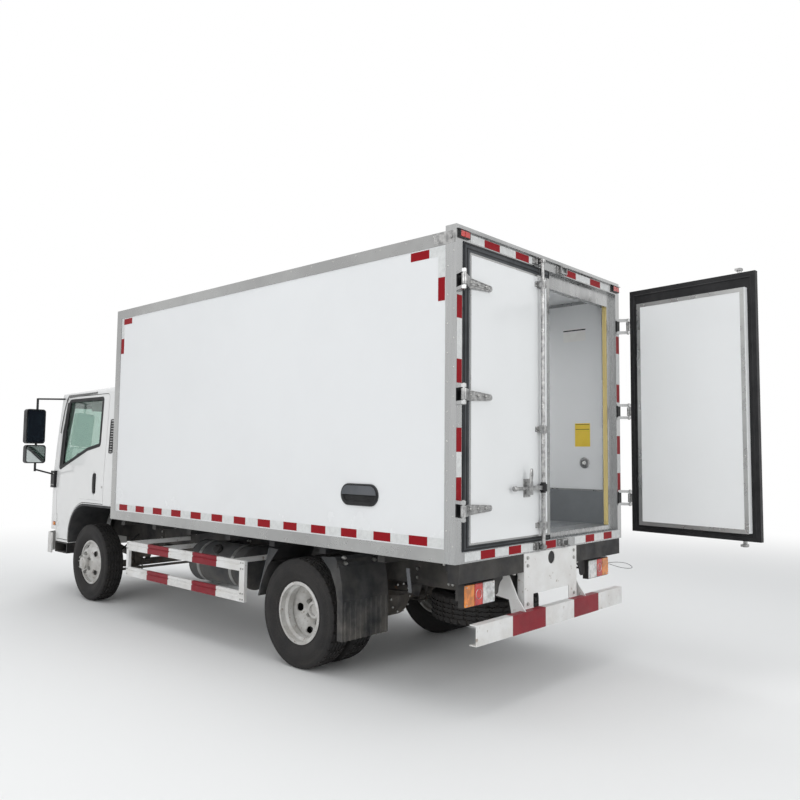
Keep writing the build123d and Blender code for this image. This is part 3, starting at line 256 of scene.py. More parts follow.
yardDust = (0.36, 0.33, 0.29)
looks = {
    # finish: colour, second colour, mottle scale, roughness from and to,
    # grain (scale, strength, depth), and what else it has
    "boxWhite": ((0.8, 0.81, 0.815), (0.775, 0.785, 0.79), 0.7, (0.16, 0.26), (900, 0.02, 0.0002),
        {"smear": 2.2, "coat": 0.35, "wave": (1.6, 0.1), "dust": (0.16, 1.5)}),
    "innerWhite": ((0.78, 0.78, 0.765), (0.75, 0.75, 0.73), 1.1, (0.28, 0.4), (700, 0.03, 0.0002),
        {"wave": (2.0, 0.08)}),
    "doorWhite": ((0.8, 0.81, 0.81), (0.788, 0.798, 0.796), 1.0, (0.22, 0.27), (900, 0.02, 0.0002),
        {"coat": 0.3, "wave": (1.9, 0.09)}),
    "cabWhite": ((0.8, 0.8, 0.79), (0.78, 0.78, 0.77), 2.0, (0.1, 0.18), (1200, 0.03, 0.0002),
        {"coat": 0.6, "dust": (0.35, 1.15)}),
    "unitWhite": ((0.78, 0.785, 0.78), (0.74, 0.745, 0.74), 4.0, (0.28, 0.42), (420, 0.12, 0.0004), {}),
    "plateWhite": ((0.78, 0.78, 0.77), (0.72, 0.71, 0.69), 5.0, (0.3, 0.48), (300, 0.15, 0.0005),
        {"specks": ((0.36, 0.31, 0.26), 26, 0.3), "dust": (0.4, 1.0)}),
    "rimWhite": ((0.66, 0.655, 0.635), (0.5, 0.49, 0.47), 14.0, (0.34, 0.55), (260, 0.25, 0.0006),
        {"specks": ((0.23, 0.17, 0.12), 42, 0.32), "dust": (0.55, 0.9)}),
    "frameBlack": ((0.022, 0.022, 0.024), (0.045, 0.043, 0.04), 4.0, (0.38, 0.62), (240, 0.2, 0.0006),
        {"shine": 0.2, "dust": (0.42, 1.0)}),
    "castGrey": ((0.085, 0.08, 0.075), (0.14, 0.125, 0.11), 8.0, (0.45, 0.75), (190, 0.45, 0.0012),
        {"metal": 0.35, "specks": ((0.19, 0.1, 0.06), 18, 0.34), "dust": (0.5, 0.9)}),
    "springSteel": ((0.05, 0.047, 0.045), (0.1, 0.085, 0.07), 9.0, (0.4, 0.7), (220, 0.3, 0.0008),
        {"metal": 0.5, "dust": (0.5, 0.9)}),
    "tankGrey": ((0.05, 0.052, 0.055), (0.075, 0.076, 0.078), 3.0, (0.26, 0.42), (500, 0.08, 0.0004),
        {"shine": 0.2, "dust": (0.5, 0.95)}),
    "exhaustSteel": ((0.2, 0.155, 0.125), (0.12, 0.085, 0.065), 7.0, (0.42, 0.72), (210, 0.3, 0.0008),
        {"metal": 0.8, "specks": ((0.24, 0.11, 0.05), 22, 0.38)}),
    "brightSteel": ((0.47, 0.475, 0.475), (0.38, 0.385, 0.385), 2.0, (0.2, 0.34), (160, 0.1, 0.0002),
        {"stretch": (1, 1, 0.08), "metal": 1.0, "smear": 30, "grainStretch": (6, 6, 0.25),
         "wave": (2.6, 0.12)}),
    "trimAluminium": ((0.43, 0.435, 0.43), (0.36, 0.362, 0.36), 1.5, (0.24, 0.36), (150, 0.1, 0.0002),
        {"metal": 1.0, "grainStretch": (0.15, 4, 4), "dust": (0.25, 1.1)}),
    "castBright": ((0.46, 0.46, 0.455), (0.25, 0.25, 0.25), 30.0, (0.24, 0.44), (330, 0.3, 0.0005),
        {"metal": 1.0}),
    "zincSteel": ((0.48, 0.48, 0.46), (0.38, 0.38, 0.37), 60.0, (0.3, 0.46), (500, 0.12, 0.0003),
        {"metal": 1.0}),
    "floorGrey": ((0.155, 0.165, 0.175), (0.21, 0.22, 0.23), 2.4, (0.42, 0.6), (260, 0.5, 0.001),
        {"specks": ((0.33, 0.33, 0.33), 60, 0.36)}),
    "kickGrey": ((0.215, 0.228, 0.236), (0.19, 0.2, 0.21), 3.0, (0.36, 0.48), (260, 0.1, 0.0003),
        {"grainStretch": (0.3, 0.3, 5)}),
    "mudBlack": ((0.03, 0.031, 0.033), (0.055, 0.056, 0.058), 5.0, (0.42, 0.62), (330, 0.35, 0.0006),
        {"shine": 0.2, "dust": (0.42, 0.95)}),
    "flapGrey": ((0.085, 0.092, 0.1), (0.115, 0.12, 0.13), 3.5, (0.45, 0.62), (300, 0.3, 0.0006),
        {"shine": 0.2, "dust": (0.35, 1.0)}),
    "sealBlack": ((0.012, 0.012, 0.013), (0.022, 0.022, 0.023), 6.0, (0.38, 0.52), (420, 0.15, 0.0003),
        {"shine": 0.2}),
    "sealGrey": ((0.045, 0.05, 0.054), (0.07, 0.075, 0.08), 6.0, (0.42, 0.56), (420, 0.15, 0.0003),
        {"shine": 0.2}),
    "trimBlack": ((0.018, 0.018, 0.019), (0.03, 0.03, 0.031), 5.0, (0.34, 0.48), (520, 0.25, 0.0004),
        {"shine": 0.2, "dust": (0.35, 1.0)}),
    "glossBlack": ((0.012, 0.012, 0.013), (0.018, 0.018, 0.019), 3.0, (0.1, 0.18), (900, 0.04, 0.0002),
        {"coat": 0.4}),
    "cabinGrey": ((0.1, 0.1, 0.105), (0.13, 0.13, 0.135), 4.0, (0.48, 0.62), (620, 0.45, 0.0005), {}),
    "headliner": ((0.5, 0.49, 0.46), (0.46, 0.45, 0.42), 7.0, (0.8, 0.92), (700, 0.4, 0.0006), {}),
    "copperPipe": ((0.62, 0.3, 0.19), (0.45, 0.21, 0.13), 12, (0.28, 0.45), (400, 0.1, 0.0005),
        {"metal": 1.0}),
    "labelYellow": ((0.86, 0.62, 0.06), (0.8, 0.57, 0.05), 9, (0.3, 0.42), (400, 0.1, 0.0005), {}),
    "labelWhite": ((0.8, 0.8, 0.78), (0.74, 0.73, 0.71), 9, (0.34, 0.46), (400, 0.1, 0.0005), {}),
    "seamYellow": ((0.74, 0.6, 0.26), (0.66, 0.52, 0.21), 6, (0.45, 0.6), (400, 0.1, 0.0005),
        {"stretch": (1, 1, 0.1)}),
    "bandRed": ((0.235, 0.003, 0.014), (0.2, 0.003, 0.012), 8, (0.3, 0.42), (420, 0.08, 0.0003),
        {"shine": 0.25, "dust": (0.1, 0.9)}),
    "wiringBlack": ((0.02, 0.02, 0.021), (0.035, 0.034, 0.033), 12, (0.4, 0.55), (400, 0.1, 0.0005),
        {"shine": 0.2, "dust": (0.3, 0.9)}),
}
finishes = {name: surface(name, look) for name, look in looks.items()}


def glassFinish(name, tint, rough):
    material, tree, shader, place = newFinish(name)
    shader.inputs["Base Color"].default_value = (*tint, 1)
    shader.inputs["Transmission Weight"].default_value = 0.92
    shader.inputs["IOR"].default_value = 1.45
    smear = fade(tree, noise(tree, place, 5, 4), 0.45, 0.75, rough, rough + 0.07)
    tree.links.new(smear, shader.inputs["Roughness"])
    return material


def lensFinish(name, colour, glow):
    # moulded lens: fine vertical ribs crossed by wider ones
    material, tree, shader, place = newFinish(name)
    patches = fade(tree, noise(tree, place, 26, 2), 0.3, 0.7)
    deep = tuple(0.55 * part for part in colour)
    tree.links.new(blendColour(tree, patches, colour, deep), shader.inputs["Base Color"])
    shader.inputs["Roughness"].default_value = 0.12
    shader.inputs["Coat Weight"].default_value = 0.7
    shader.inputs["Subsurface Weight"].default_value = glow
    shader.inputs["Subsurface Scale"].default_value = 0.01
    for axis, pitch in (("Y", 110.0), ("Z", 60.0)):
        rib = tree.nodes.new("ShaderNodeTexWave")
        rib.bands_direction = axis
        rib.inputs["Scale"].default_value = pitch / 6.28
        tree.links.new(place, rib.inputs["Vector"])
        emboss(tree, shader, rib.outputs["Fac"], 0.35, 0.0012)
    return material


def tapeFinish(name, colour):
    # prismatic sheeting: small sealed cells with paler borders
    material, tree, shader, place = newFinish(name)
    cells = tree.nodes.new("ShaderNodeTexVoronoi")
    cells.feature = "DISTANCE_TO_EDGE"
    cells.inputs["Scale"].default_value = 150
    cells.inputs["Randomness"].default_value = 0.25
    tree.links.new(place, cells.inputs["Vector"])
    border = fade(tree, cells.outputs["Distance"], 0.02, 0.12)
    pale = tuple(min(1.0, 0.8 * part + 0.012) for part in colour)
    mottle = fade(tree, noise(tree, place, 30, 3), 0.35, 0.7)
    worn = tuple(0.86 * part for part in colour)
    body = blendColour(tree, mottle, colour, worn)
    tree.links.new(blendColour(tree, border, pale, body), shader.inputs["Base Color"])
    shader.inputs["Roughness"].default_value = 0.42
    shader.inputs["Specular IOR Level"].default_value = 0.12
    emboss(tree, shader, border, 0.15, 0.0003)
    return material


def treadPlateFinish():
    # raised dashes set two ways on bright sheet
    material, tree, shader, place = newFinish("treadPlate")
    raised = None
    for turn in (0.785, -0.785):
        mapping = tree.nodes.new("ShaderNodeMapping")
        mapping.inputs["Rotation"].default_value = (0, 0, turn)
        mapping.inputs["Scale"].default_value = (60, 22, 22)
        tree.links.new(place, mapping.inputs["Vector"])
        dash = tree.nodes.new("ShaderNodeTexVoronoi")
        dash.inputs["Scale"].default_value = 1
        dash.inputs["Randomness"].default_value = 0.0
        tree.links.new(mapping.outputs["Vector"], dash.inputs["Vector"])
        bump = fade(tree, dash.outputs["Distance"], 0.25, 0.4, 1, 0)
        raised = combine(tree, "MAXIMUM", raised, bump) if raised else bump
    worn = blendColour(tree, raised, (0.42, 0.43, 0.44), (0.7, 0.71, 0.72))
    tree.links.new(worn, shader.inputs["Base Color"])
    shader.inputs["Metallic"].default_value = 1.0
    tree.links.new(fade(tree, raised, 0, 1, 0.42, 0.22), shader.inputs["Roughness"])
    emboss(tree, shader, raised, 0.8, 0.0015)
    return material


def mirrorFinish(name, tint):
    material, tree, shader, place = newFinish(name)
    shader.inputs["Base Color"].default_value = (*tint, 1)
    shader.inputs["Metallic"].default_value = 1.0
    tree.links.new(fade(tree, noise(tree, place, 9, 3), 0.5, 0.8, 0.02, 0.12),
                   shader.inputs["Roughness"])
    return material


def tyreFinish():
    # black rubber, browned by dust in the grooves and on the shoulders, scuffed on the tread
    material, tree, shader, place = newFinish("tyreBlack")
    fine = noise(tree, place, 120, 5)
    broad = noise(tree, place, 7, 5)
    base = blendColour(tree, fade(tree, fine, 0.3, 0.7), (0.012, 0.012, 0.013), (0.028, 0.027, 0.027))
    geometry = tree.nodes.new("ShaderNodeNewGeometry")
    hollow = fade(tree, geometry.outputs["Pointiness"], 0.44, 0.51, 0.75, 0.0)
    cover = combine(tree, "MINIMUM", combine(tree, "MULTIPLY", fade(tree, broad, 0.25, 0.75),
        combine(tree, "ADD", hollow, 0.35)), 1.0)
    colour = blendColour(tree, combine(tree, "MULTIPLY", cover, 0.24), base, (0.155, 0.135, 0.115))
    tree.links.new(colour, shader.inputs["Base Color"])
    tree.links.new(fade(tree, fine, 0.2, 0.8, 0.55, 0.8), shader.inputs["Roughness"])
    shader.inputs["Specular IOR Level"].default_value = 0.22
    emboss(tree, shader, noise(tree, place, 300, 4), 0.22, 0.0006)
    return material


def clothFinish():
    material, tree, shader, place = newFinish("seatCloth")
    weave = tree.nodes.new("ShaderNodeTexChecker")
    weave.inputs["Scale"].default_value = 420
    tree.links.new(place, weave.inputs["Vector"])
    colour = blendColour(tree, weave.outputs["Fac"], (0.055, 0.058, 0.066), (0.085, 0.088, 0.098))
    tree.links.new(colour, shader.inputs["Base Color"])
    shader.inputs["Roughness"].default_value = 0.92
    shader.inputs["Sheen Weight"].default_value = 0.35
    emboss(tree, shader, weave.outputs["Fac"], 0.3, 0.0006)
    emboss(tree, shader, noise(tree, place, 45, 3), 0.3, 0.002)
    return material


clearLooks = {
    # finish: maker, colour, and how rough a glass or how glowing a lens it is
    "cabGlass": (glassFinish, (0.6, 0.74, 0.68), 0.0),
    "lampGlass": (glassFinish, (0.92, 0.94, 0.95), 0.01),
    "lensRed": (lensFinish, (0.62, 0.018, 0.012), 0.3),
    "lensOrange": (lensFinish, (0.85, 0.26, 0.02), 0.3),
    "lensClear": (lensFinish, (0.8, 0.8, 0.78), 0.1),
    "tapeRed": (tapeFinish, (0.3, 0.002, 0.008)),
    "tapeWhite": (tapeFinish, (0.74, 0.75, 0.74)),
    "mirrorGlass": (mirrorFinish, (0.62, 0.67, 0.66)),
    # near-black mirror glass: a painted dark reflection, not the glass's own colour
    "mirrorDark": (mirrorFinish, (0.035, 0.042, 0.06)),
}
for name, (maker, *values) in clearLooks.items():
    finishes[name] = maker(name, *values)
for maker in (treadPlateFinish, tyreFinish, clothFinish):
    material = maker()
    finishes[material.name] = material
print("stage: finishes mixed,", len(finishes))


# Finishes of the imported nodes

nodesOfFinish = {
    "boxWhite": "box_floor box_roof box_side_walls", "innerWhite": "box_front_wall",
    "cabWhite": "cab_back cab_floor cab_front cab_roof cab_side_frames",
    "unitWhite": "refrigeration_unit", "plateWhite": "front_bumper guards rear_plate",
    "frameBlack": "box_bearers cross_members drive_shaft frame_rails",
    "castGrey": "engine front_axle left_knuckle right_knuckle rear_axle tie_rod",
    "springSteel": "leaf_springs", "tankGrey": "fuel_tank", "exhaustSteel": "exhaust",
    "brightSteel": "rear_frame", "trimAluminium": "box_trims", "floorGrey": "floor_sheet",
    "kickGrey": "kick_plates", "mudBlack": "battery_box rear_mudguards side_vent",
    "trimBlack": "cab_steps grille mirrors rear_lamps", "cabinGrey": "dashboard",
    "cabGlass": "cab_glass", "lampGlass": "headlamps", "tyreBlack": "spare_wheel", "seatCloth": "seats",
    "sealGrey": "rear_door_left_seal", "sealBlack": "rear_door_right_seal",
}
pairsOfFinish = {
    "cab_door_{}": "cabWhite", "cab_door_{}_glass": "cabGlass", "front_{}_rim": "rimWhite",
    "front_{}_tyre": "tyreBlack", "rear_{}_rims": "rimWhite", "rear_{}_tyres": "tyreBlack",
    "rear_door_{}_panel": "doorWhite", "rear_door_{}_hardware": "castBright",
}
nodeFinish = {name: finish for finish, names in nodesOfFinish.items() for name in names.split()}
for name, finish in pairsOfFinish.items():
    nodeFinish.update({name.format(side): finish for side in ("left", "right")})

for name, finish in nodeFinish.items():
    nodes[name].data.materials.clear()
    nodes[name].data.materials.append(finishes[finish])
print("stage: packed nodes finished")


# Piece makers


def addBox(form, low, high):
    middle = [(a + b) / 2 for a, b in zip(low, high)]
    size = [abs(b - a) for a, b in zip(low, high)]
    place = Matrix.Translation(middle) @ Matrix.Diagonal((*size, 1))
    return bmesh.ops.create_cube(form, size=1, matrix=place)["verts"]


def aimed(start, direction):
    turn = Vector(direction).to_track_quat("Z", "Y").to_matrix().to_4x4()
    return Matrix.Translation(start) @ turn


def addRod(form, start, end, radius, sides=20, endRadius=None):
    start, end = Vector(start), Vector(end)
    place = aimed((start + end) / 2, end - start)
    made = bmesh.ops.create_cone(form, cap_ends=True, segments=sides, radius1=radius,
        radius2=radius if endRadius is None else endRadius, depth=(end - start).length, matrix=place)
    return made["verts"]


def circle(count, offset=0.0):
    # cosine and sine at equal steps round a circle
    turns = (2 * math.pi * (step + offset) / count for step in range(count))
    return [(math.cos(turn), math.sin(turn)) for turn in turns]


def addSpun(form, section, centre, axis, steps=48, closed=True):
    # a section of (radius, along) pairs turned fully round the axis
    place = aimed(centre, axis)
    start = [form.verts.new(place @ Vector((radius, 0, along))) for radius, along in section]
    pairs = list(zip(start, start[1:]))
    if closed:
        pairs.append((start[-1], start[0]))
    edges = [form.edges.new(pair) for pair in pairs]
    bmesh.ops.spin(form, geom=start + edges, cent=centre, axis=axis, dvec=(0, 0, 0),
                   angle=2 * math.pi, steps=steps, use_merge=True)


def addHoop(form, x, centre, inner, outer, half, steps, lean=0.0):
    # a flat strap round a line that runs along the truck, its outer edges drawn in by the lean
    section = [(inner, x - half), (outer, x - half + lean), (outer, x + half - lean), (inner, x + half)]
    addSpun(form, section, (0, *centre), (1, 0, 0), steps)


def addOutline(form, outline, push):
    # a flat outline pushed straight into a solid
    face = form.faces.new([form.verts.new(point) for point in outline])
    pushed = bmesh.ops.extrude_face_region(form, geom=[face])["geom"]
    moved = [part for part in pushed if isinstance(part, bmesh.types.BMVert)]
    bmesh.ops.translate(form, verts=moved, vec=push)


def addHex(form, spot, direction, across, height):
    spot = Vector(spot)
    end = spot + Vector(direction).normalized() * height
    return addRod(form, spot, end, across / 2 / math.cos(math.pi / 6), 6)


def addDome(form, spot, direction, radius, height):
    made = bmesh.ops.create_uvsphere(form, u_segments=12, v_segments=6, radius=1)["verts"]
    place = aimed(spot, direction) @ Matrix.Diagonal((radius, radius, height, 1))
    bmesh.ops.transform(form, matrix=place, verts=made)


def mirrorAcross(form):
    # the same again on the truck's other side
    whole = form.verts[:] + form.edges[:] + form.faces[:]
    bmesh.ops.mirror(form, geom=whole, axis="Y", merge_dist=0.0)


def makePiece(name, form, finish, soft=0.0, body="chassis", sharp=35):
    # soft is the width of the rounded edges, sharp the angle in degrees that stays hard
    bmesh.ops.remove_doubles(form, verts=form.verts, dist=0.00002)
    bmesh.ops.recalc_face_normals(form, faces=form.faces)
    data = bpy.data.meshes.new(name)
    form.to_mesh(data)
    form.free()
    data.shade_smooth()
    data.set_sharp_from_angle(angle=math.radians(sharp))
    made = bpy.data.objects.new(name, data)
    bpy.context.scene.collection.objects.link(made)
    data.materials.append(finishes[finish])
    if soft:
        edge = made.modifiers.new("softEdges", "BEVEL")
        edge.width = soft
        edge.segments = 2
        edge.limit_method = "ANGLE"
        edge.angle_limit = math.radians(40)
        edge.harden_normals = True
    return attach(made, body)


def makePair(name, form, *values):
    # a piece and its mirror image as one
    mirrorAcross(form)
    return makePiece(name, form, *values)


def makeTube(name, points, radius, finish):
    # a bent tube or hose along a smooth line, made a mesh in place
    curve = bpy.data.curves.new(name + "Line", "CURVE")
    curve.dimensions = "3D"
    curve.bevel_depth = radius
    curve.bevel_resolution = 4
    curve.resolution_u = 6
    curve.use_fill_caps = True
    line = curve.splines.new("NURBS")
    line.points.add(len(points) - 1)
    for knot, point in zip(line.points, points):
        knot.co = (*point, 1)
    line.order_u = 3
    line.use_endpoint_u = True
    holder = bpy.data.objects.new(name + "Line", curve)
    data = bpy.data.meshes.new_from_object(holder)
    bpy.data.objects.remove(holder)
    form = bmesh.new()
    form.from_mesh(data)
    bpy.data.meshes.remove(data)
    makePiece(name, form, finish)


# Tyres and wheels

wheelSize = {
    "radius": 0.38, "sidewall": 0.0975, "bead": 0.2045, "halfTread": 0.079,
    "grooveDepth": 0.011, "grooveHalf": 0.0048, "grooves": (-0.046, -0.0155, 0.0155, 0.046),
    "steps": 108, "zigzag": 0.0028, "sipeDepth": 0.008, "sipeEdge": 0.003,
    "studCircle": 0.0925, "studs": 6, "nutAcross": 0.03, "nutHeight": 0.02,
}


def tyreSection():
    w = wheelSize
    side = [
        (w["bead"], 0.052), (w["bead"] + 0.004, 0.06), (w["bead"] + 0.016, 0.066),
        (0.232, 0.078), (0.236, 0.0805), (0.241, 0.0805), (0.246, 0.084), (0.268, 0.092),
        (0.29, w["sidewall"]), (0.306, w["sidewall"]), (0.312, 0.0955), (0.317, 0.0965),
        (0.322, 0.095), (0.345, 0.0905), (0.35, 0.0915), (0.357, 0.09), (0.37, 0.0845),
    ]
    tread = [(w["radius"] - 0.0035, w["halfTread"])]
    for spot in reversed(w["grooves"]):
        crown = w["radius"] - 0.35 * spot * spot
        tread += [(crown, spot + w["grooveHalf"]), (crown - w["grooveDepth"], spot + 0.0025),
                  (crown - w["grooveDepth"], spot - 0.0025), (crown, spot - w["grooveHalf"])]
    tread.append((w["radius"] - 0.0035, -w["halfTread"]))
    return side + tread + [(radius, -along) for radius, along in reversed(side)]


def addTyre(form, x, y):
    w = wheelSize
    centre = Vector((x, y, w["radius"]))
    steps = w["steps"]
    share = 2 * math.pi / steps
    old = set(form.verts)
    addSpun(form, tyreSection(), centre, (0, 1, 0), steps)
    fresh = [v for v in form.verts if v not in old]

    def polar(point):
        # turn about the axle and distance from it
        return (math.atan2(point.z - centre.z, point.x - x),
                math.hypot(point.x - x, point.z - centre.z))

    for v in fresh:
        turn, radius = polar(v.co)
        if radius > w["radius"] - 0.016 and abs(v.co.y - y) < 0.06:
            v.co.y += w["zigzag"] * (1 if round(turn / share) % steps % 2 else -1)
    # sipes cut in the shoulders and the middle ribs
    cuts = []
    for face in {f for v in fresh for f in v.link_faces}:
        middle = face.calc_center_median()
        turn, radius = polar(middle)
        along = abs(middle.y - y)
        block = int(turn / share + 2 * steps)
        shoulder = along > 0.052 and radius > w["radius"] - 0.012 and block % 3 == 0
        rib = along < 0.04 and radius > w["radius"] - 0.003 and block % 4 == 0
        if shoulder or rib:
            cuts.append(face)
    bmesh.ops.inset_individual(form, faces=cuts, thickness=w["sipeEdge"])
    for face in cuts:
        middle = face.calc_center_median()
        inward = Vector((x - middle.x, 0, centre.z - middle.z)).normalized() * w["sipeDepth"]
        bmesh.ops.translate(form, verts=list(face.verts), vec=inward)


def addStuds(form, x, y, side):
    w = wheelSize
    out = Vector((0, side, 0))
    for across, up in circle(w["studs"], 0.5):
        spot = Vector((x + w["studCircle"] * across, y, w["radius"] + w["studCircle"] * up))
        addRod(form, spot, spot + out * 0.004, 0.021, 16, 0.019)
        addHex(form, spot + out * 0.003, out, w["nutAcross"], w["nutHeight"])
        addRod(form, spot, spot + out * (w["nutHeight"] + 0.012), 0.0095, 12)


def makeWheels():
    w = wheelSize
    for side, word in ((1, "left"), (-1, "right")):
        for axle, node, nutFace, valveStart, valveReach in (
                ("front", f"front_{word}_tyre", None, (0.15, 0.845, 0.0), (0.012, 0.045)),
                ("rear", f"rear_{word}_tyres", 0.009, (-0.165, 0.07, 0.02), (-0.004, 0.075))):
            low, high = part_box(node)
            x, middle = (low.x + high.x) / 2, (low.y + high.y) / 2
            spacing = (high.y - low.y) / 2 - w["sidewall"]
            form = bmesh.new()
            for offset in ((0.0,) if axle == "front" else (-spacing, spacing)):
                addTyre(form, x, middle + offset)
            kind = "treadTyre" if axle == "front" else "treadTyres"
            tyre = makePiece(f"{axle}_{word}_{kind}", form, "tyreBlack", 0.0, f"{axle}_{word}_wheel")
            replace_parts(tyre, node)
            form = bmesh.new()
            hub = 0.0 if axle == "front" else middle
            addStuds(form, x, side * 0.8825 if axle == "front" else middle + side * nutFace, side)
            valve = Vector((x + valveStart[0], hub + side * valveStart[1], w["radius"] + valveStart[2]))
            addRod(form, valve, valve + Vector((valveReach[0], side * valveReach[1], 0)), 0.0045, 10)
            makePiece(f"{axle}_{word}_wheelNuts", form, "zincSteel", 0.0, f"{axle}_{word}_wheel")


makeWheels()
print("stage: wheels fitted")


# Load box: tapes, screws, vent, corner caps

boxSize = {
    "half": 1.036, "wall": 1.032, "rear": -1.476, "front": 2.587,
    "tapeThick": 0.0008, "sideTape": (0.966, 1.02), "firstRed": 2.432, "redLength": 0.146,
    "tapePitch": 0.296, "reds": 13, "screwPitch": 0.172,
}


def sideTapes():
    b = boxSize
    low, high = b["sideTape"]
    outer = b["wall"] + b["tapeThick"]
    red, white = bmesh.new(), bmesh.new()
    edge = b["front"] - 0.006
    for count in range(b["reds"]):
        start = b["firstRed"] - count * b["tapePitch"]
        addBox(white, (start, b["wall"], low), (edge, outer, high))
        addBox(red, (start - b["redLength"], b["wall"], low), (start, outer, high))
        edge = start - b["redLength"]
    addBox(white, (b["rear"] + 0.084, b["wall"], low), (edge, outer, high))
    # the L of tape at each upper corner
    for x, z in (((-1.266, -1.117), (2.683, 2.737)), ((-1.388, -1.336), (2.412, 2.553)),
                 ((2.318, 2.466), (2.683, 2.737)), ((2.452, 2.504), (2.412, 2.553))):
        addBox(red, (x[0], b["wall"], z[0]), (x[1], outer, z[1]))
    for x, z in (((-1.388, -1.266), (2.683, 2.737)), ((-1.388, -1.336), (2.553, 2.683)),
                 ((2.466, 2.504), (2.683, 2.737)), ((2.452, 2.504), (2.553, 2.683))):
        addBox(white, (x[0], b["wall"], z[0]), (x[1], outer, z[1]))
    for form, name, finish in ((red, "sideTapeRed", "tapeRed"), (white, "sideTapeWhite", "tapeWhite")):
        makePair(name, form, finish)


rearTape = {
    # y spans of the reds on header and sill, z spans of the reds on the posts
    "headerReds": ((0.596, 0.76), (0.262, 0.418), (-0.359, -0.202), (-0.727, -0.57)),
    "headerWhites": ((0.76, 0.9), (0.418, 0.596), (0.19, 0.262), (-0.202, -0.1),
                     (-0.57, -0.359), (-0.868, -0.727)),
    "header": (2.772, 2.818),
    "sillReds": ((0.645, 0.792), (0.36, 0.498), (-0.064, 0.092), (-0.602, -0.472),
                 (-0.875, -0.746)),
    "sillWhites": ((0.792, 0.947), (0.498, 0.645), (0.1, 0.36), (-0.472, -0.319),
                   (-0.746, -0.602), (-1.007, -0.875)),
    "sill": (0.888, 0.938),
    "postReds": ((2.3, 2.437), (1.92, 2.06), (1.52, 1.66), (1.233, 1.375)),
    "postWhites": ((2.06, 2.3), (1.375, 1.52)),
    "post": (0.982, 1.03),
}


def rearTapes():
    b, t = boxSize, rearTape
    face = b["rear"]
    outer = face - b["tapeThick"]
    red, white = bmesh.new(), bmesh.new()
    for form, spans, level in ((red, "headerReds", "header"), (white, "headerWhites", "header"),
            (red, "sillReds", "sill"), (white, "sillWhites", "sill")):
        for low, high in t[spans]:
            addBox(form, (outer, low, t[level][0]), (face, high, t[level][1]))
    near, far = t["post"]
    for side in (1, -1):
        edges = sorted((side * near, side * far))
        for form, spans in ((red, "postReds"), (white, "postWhites")):
            for low, high in t[spans]:
                addBox(form, (outer, edges[0], low), (face, edges[1], high))
    makePiece("rearTapeRed", red, "tapeRed")
    makePiece("rearTapeWhite", white, "tapeWhite")


def boxScrews():
    # pan-head screws down the corner sections and along the skirt and cant rails
    b = boxSize
    form = bmesh.new()
    columns = ((b["rear"] + 0.02, 0.004), (b["rear"] + 0.066, 0.09), (b["front"] - 0.04, 0.004))
    for x, shift in columns:
        for count in range(11):
            z = 0.975 + shift + count * b["screwPitch"]
            if z < 2.74:
                addDome(form, (x, b["half"], z), (0, 1, 0), 0.0055, 0.0026)
    for count in range(18):
        x = -1.3 + count * 0.222
        for z in (0.895, 2.805):
            addDome(form, (x, b["half"], z), (0, 1, 0), 0.005, 0.0024)
    makePair("boxScrews", form, "zincSteel")


def cornerCaps():
    # pressed bright caps over the rail ends, with a ribbed face
    b = boxSize
    form = bmesh.new()
    skin = b["half"] + 0.0012
    addBox(form, (b["rear"] + 0.006, b["half"] - 0.001, 2.748), (b["rear"] + 0.172, skin, 2.822))
    for count in range(9):
        x = b["rear"] + 0.09 + count * 0.0085
        addRod(form, (x, skin, 2.758), (x + 0.012, skin, 2.812), 0.0026, 8)
    addRod(form, (b["rear"] + 0.04, skin, 2.785), (b["rear"] + 0.04, skin + 0.004, 2.785), 0.012, 16)
    makePair("cornerCaps", form, "castBright", 0.0008)


def markerLamps():
    # red lenses set in the dark corner housings
    form = bmesh.new()
    addBox(form, (boxSize["rear"] - 0.0165, 0.924, 2.785), (boxSize["rear"] - 0.01, 0.97, 2.821))
    addBox(form, (boxSize["rear"] - 0.0165, 0.974, 2.785), (boxSize["rear"] - 0.01, 1.01, 2.821))
    makePair("markerLenses", form, "lensRed", 0.002)


ventSize = {"x": -0.697, "z": 1.242, "length": 0.335, "height": 0.14}


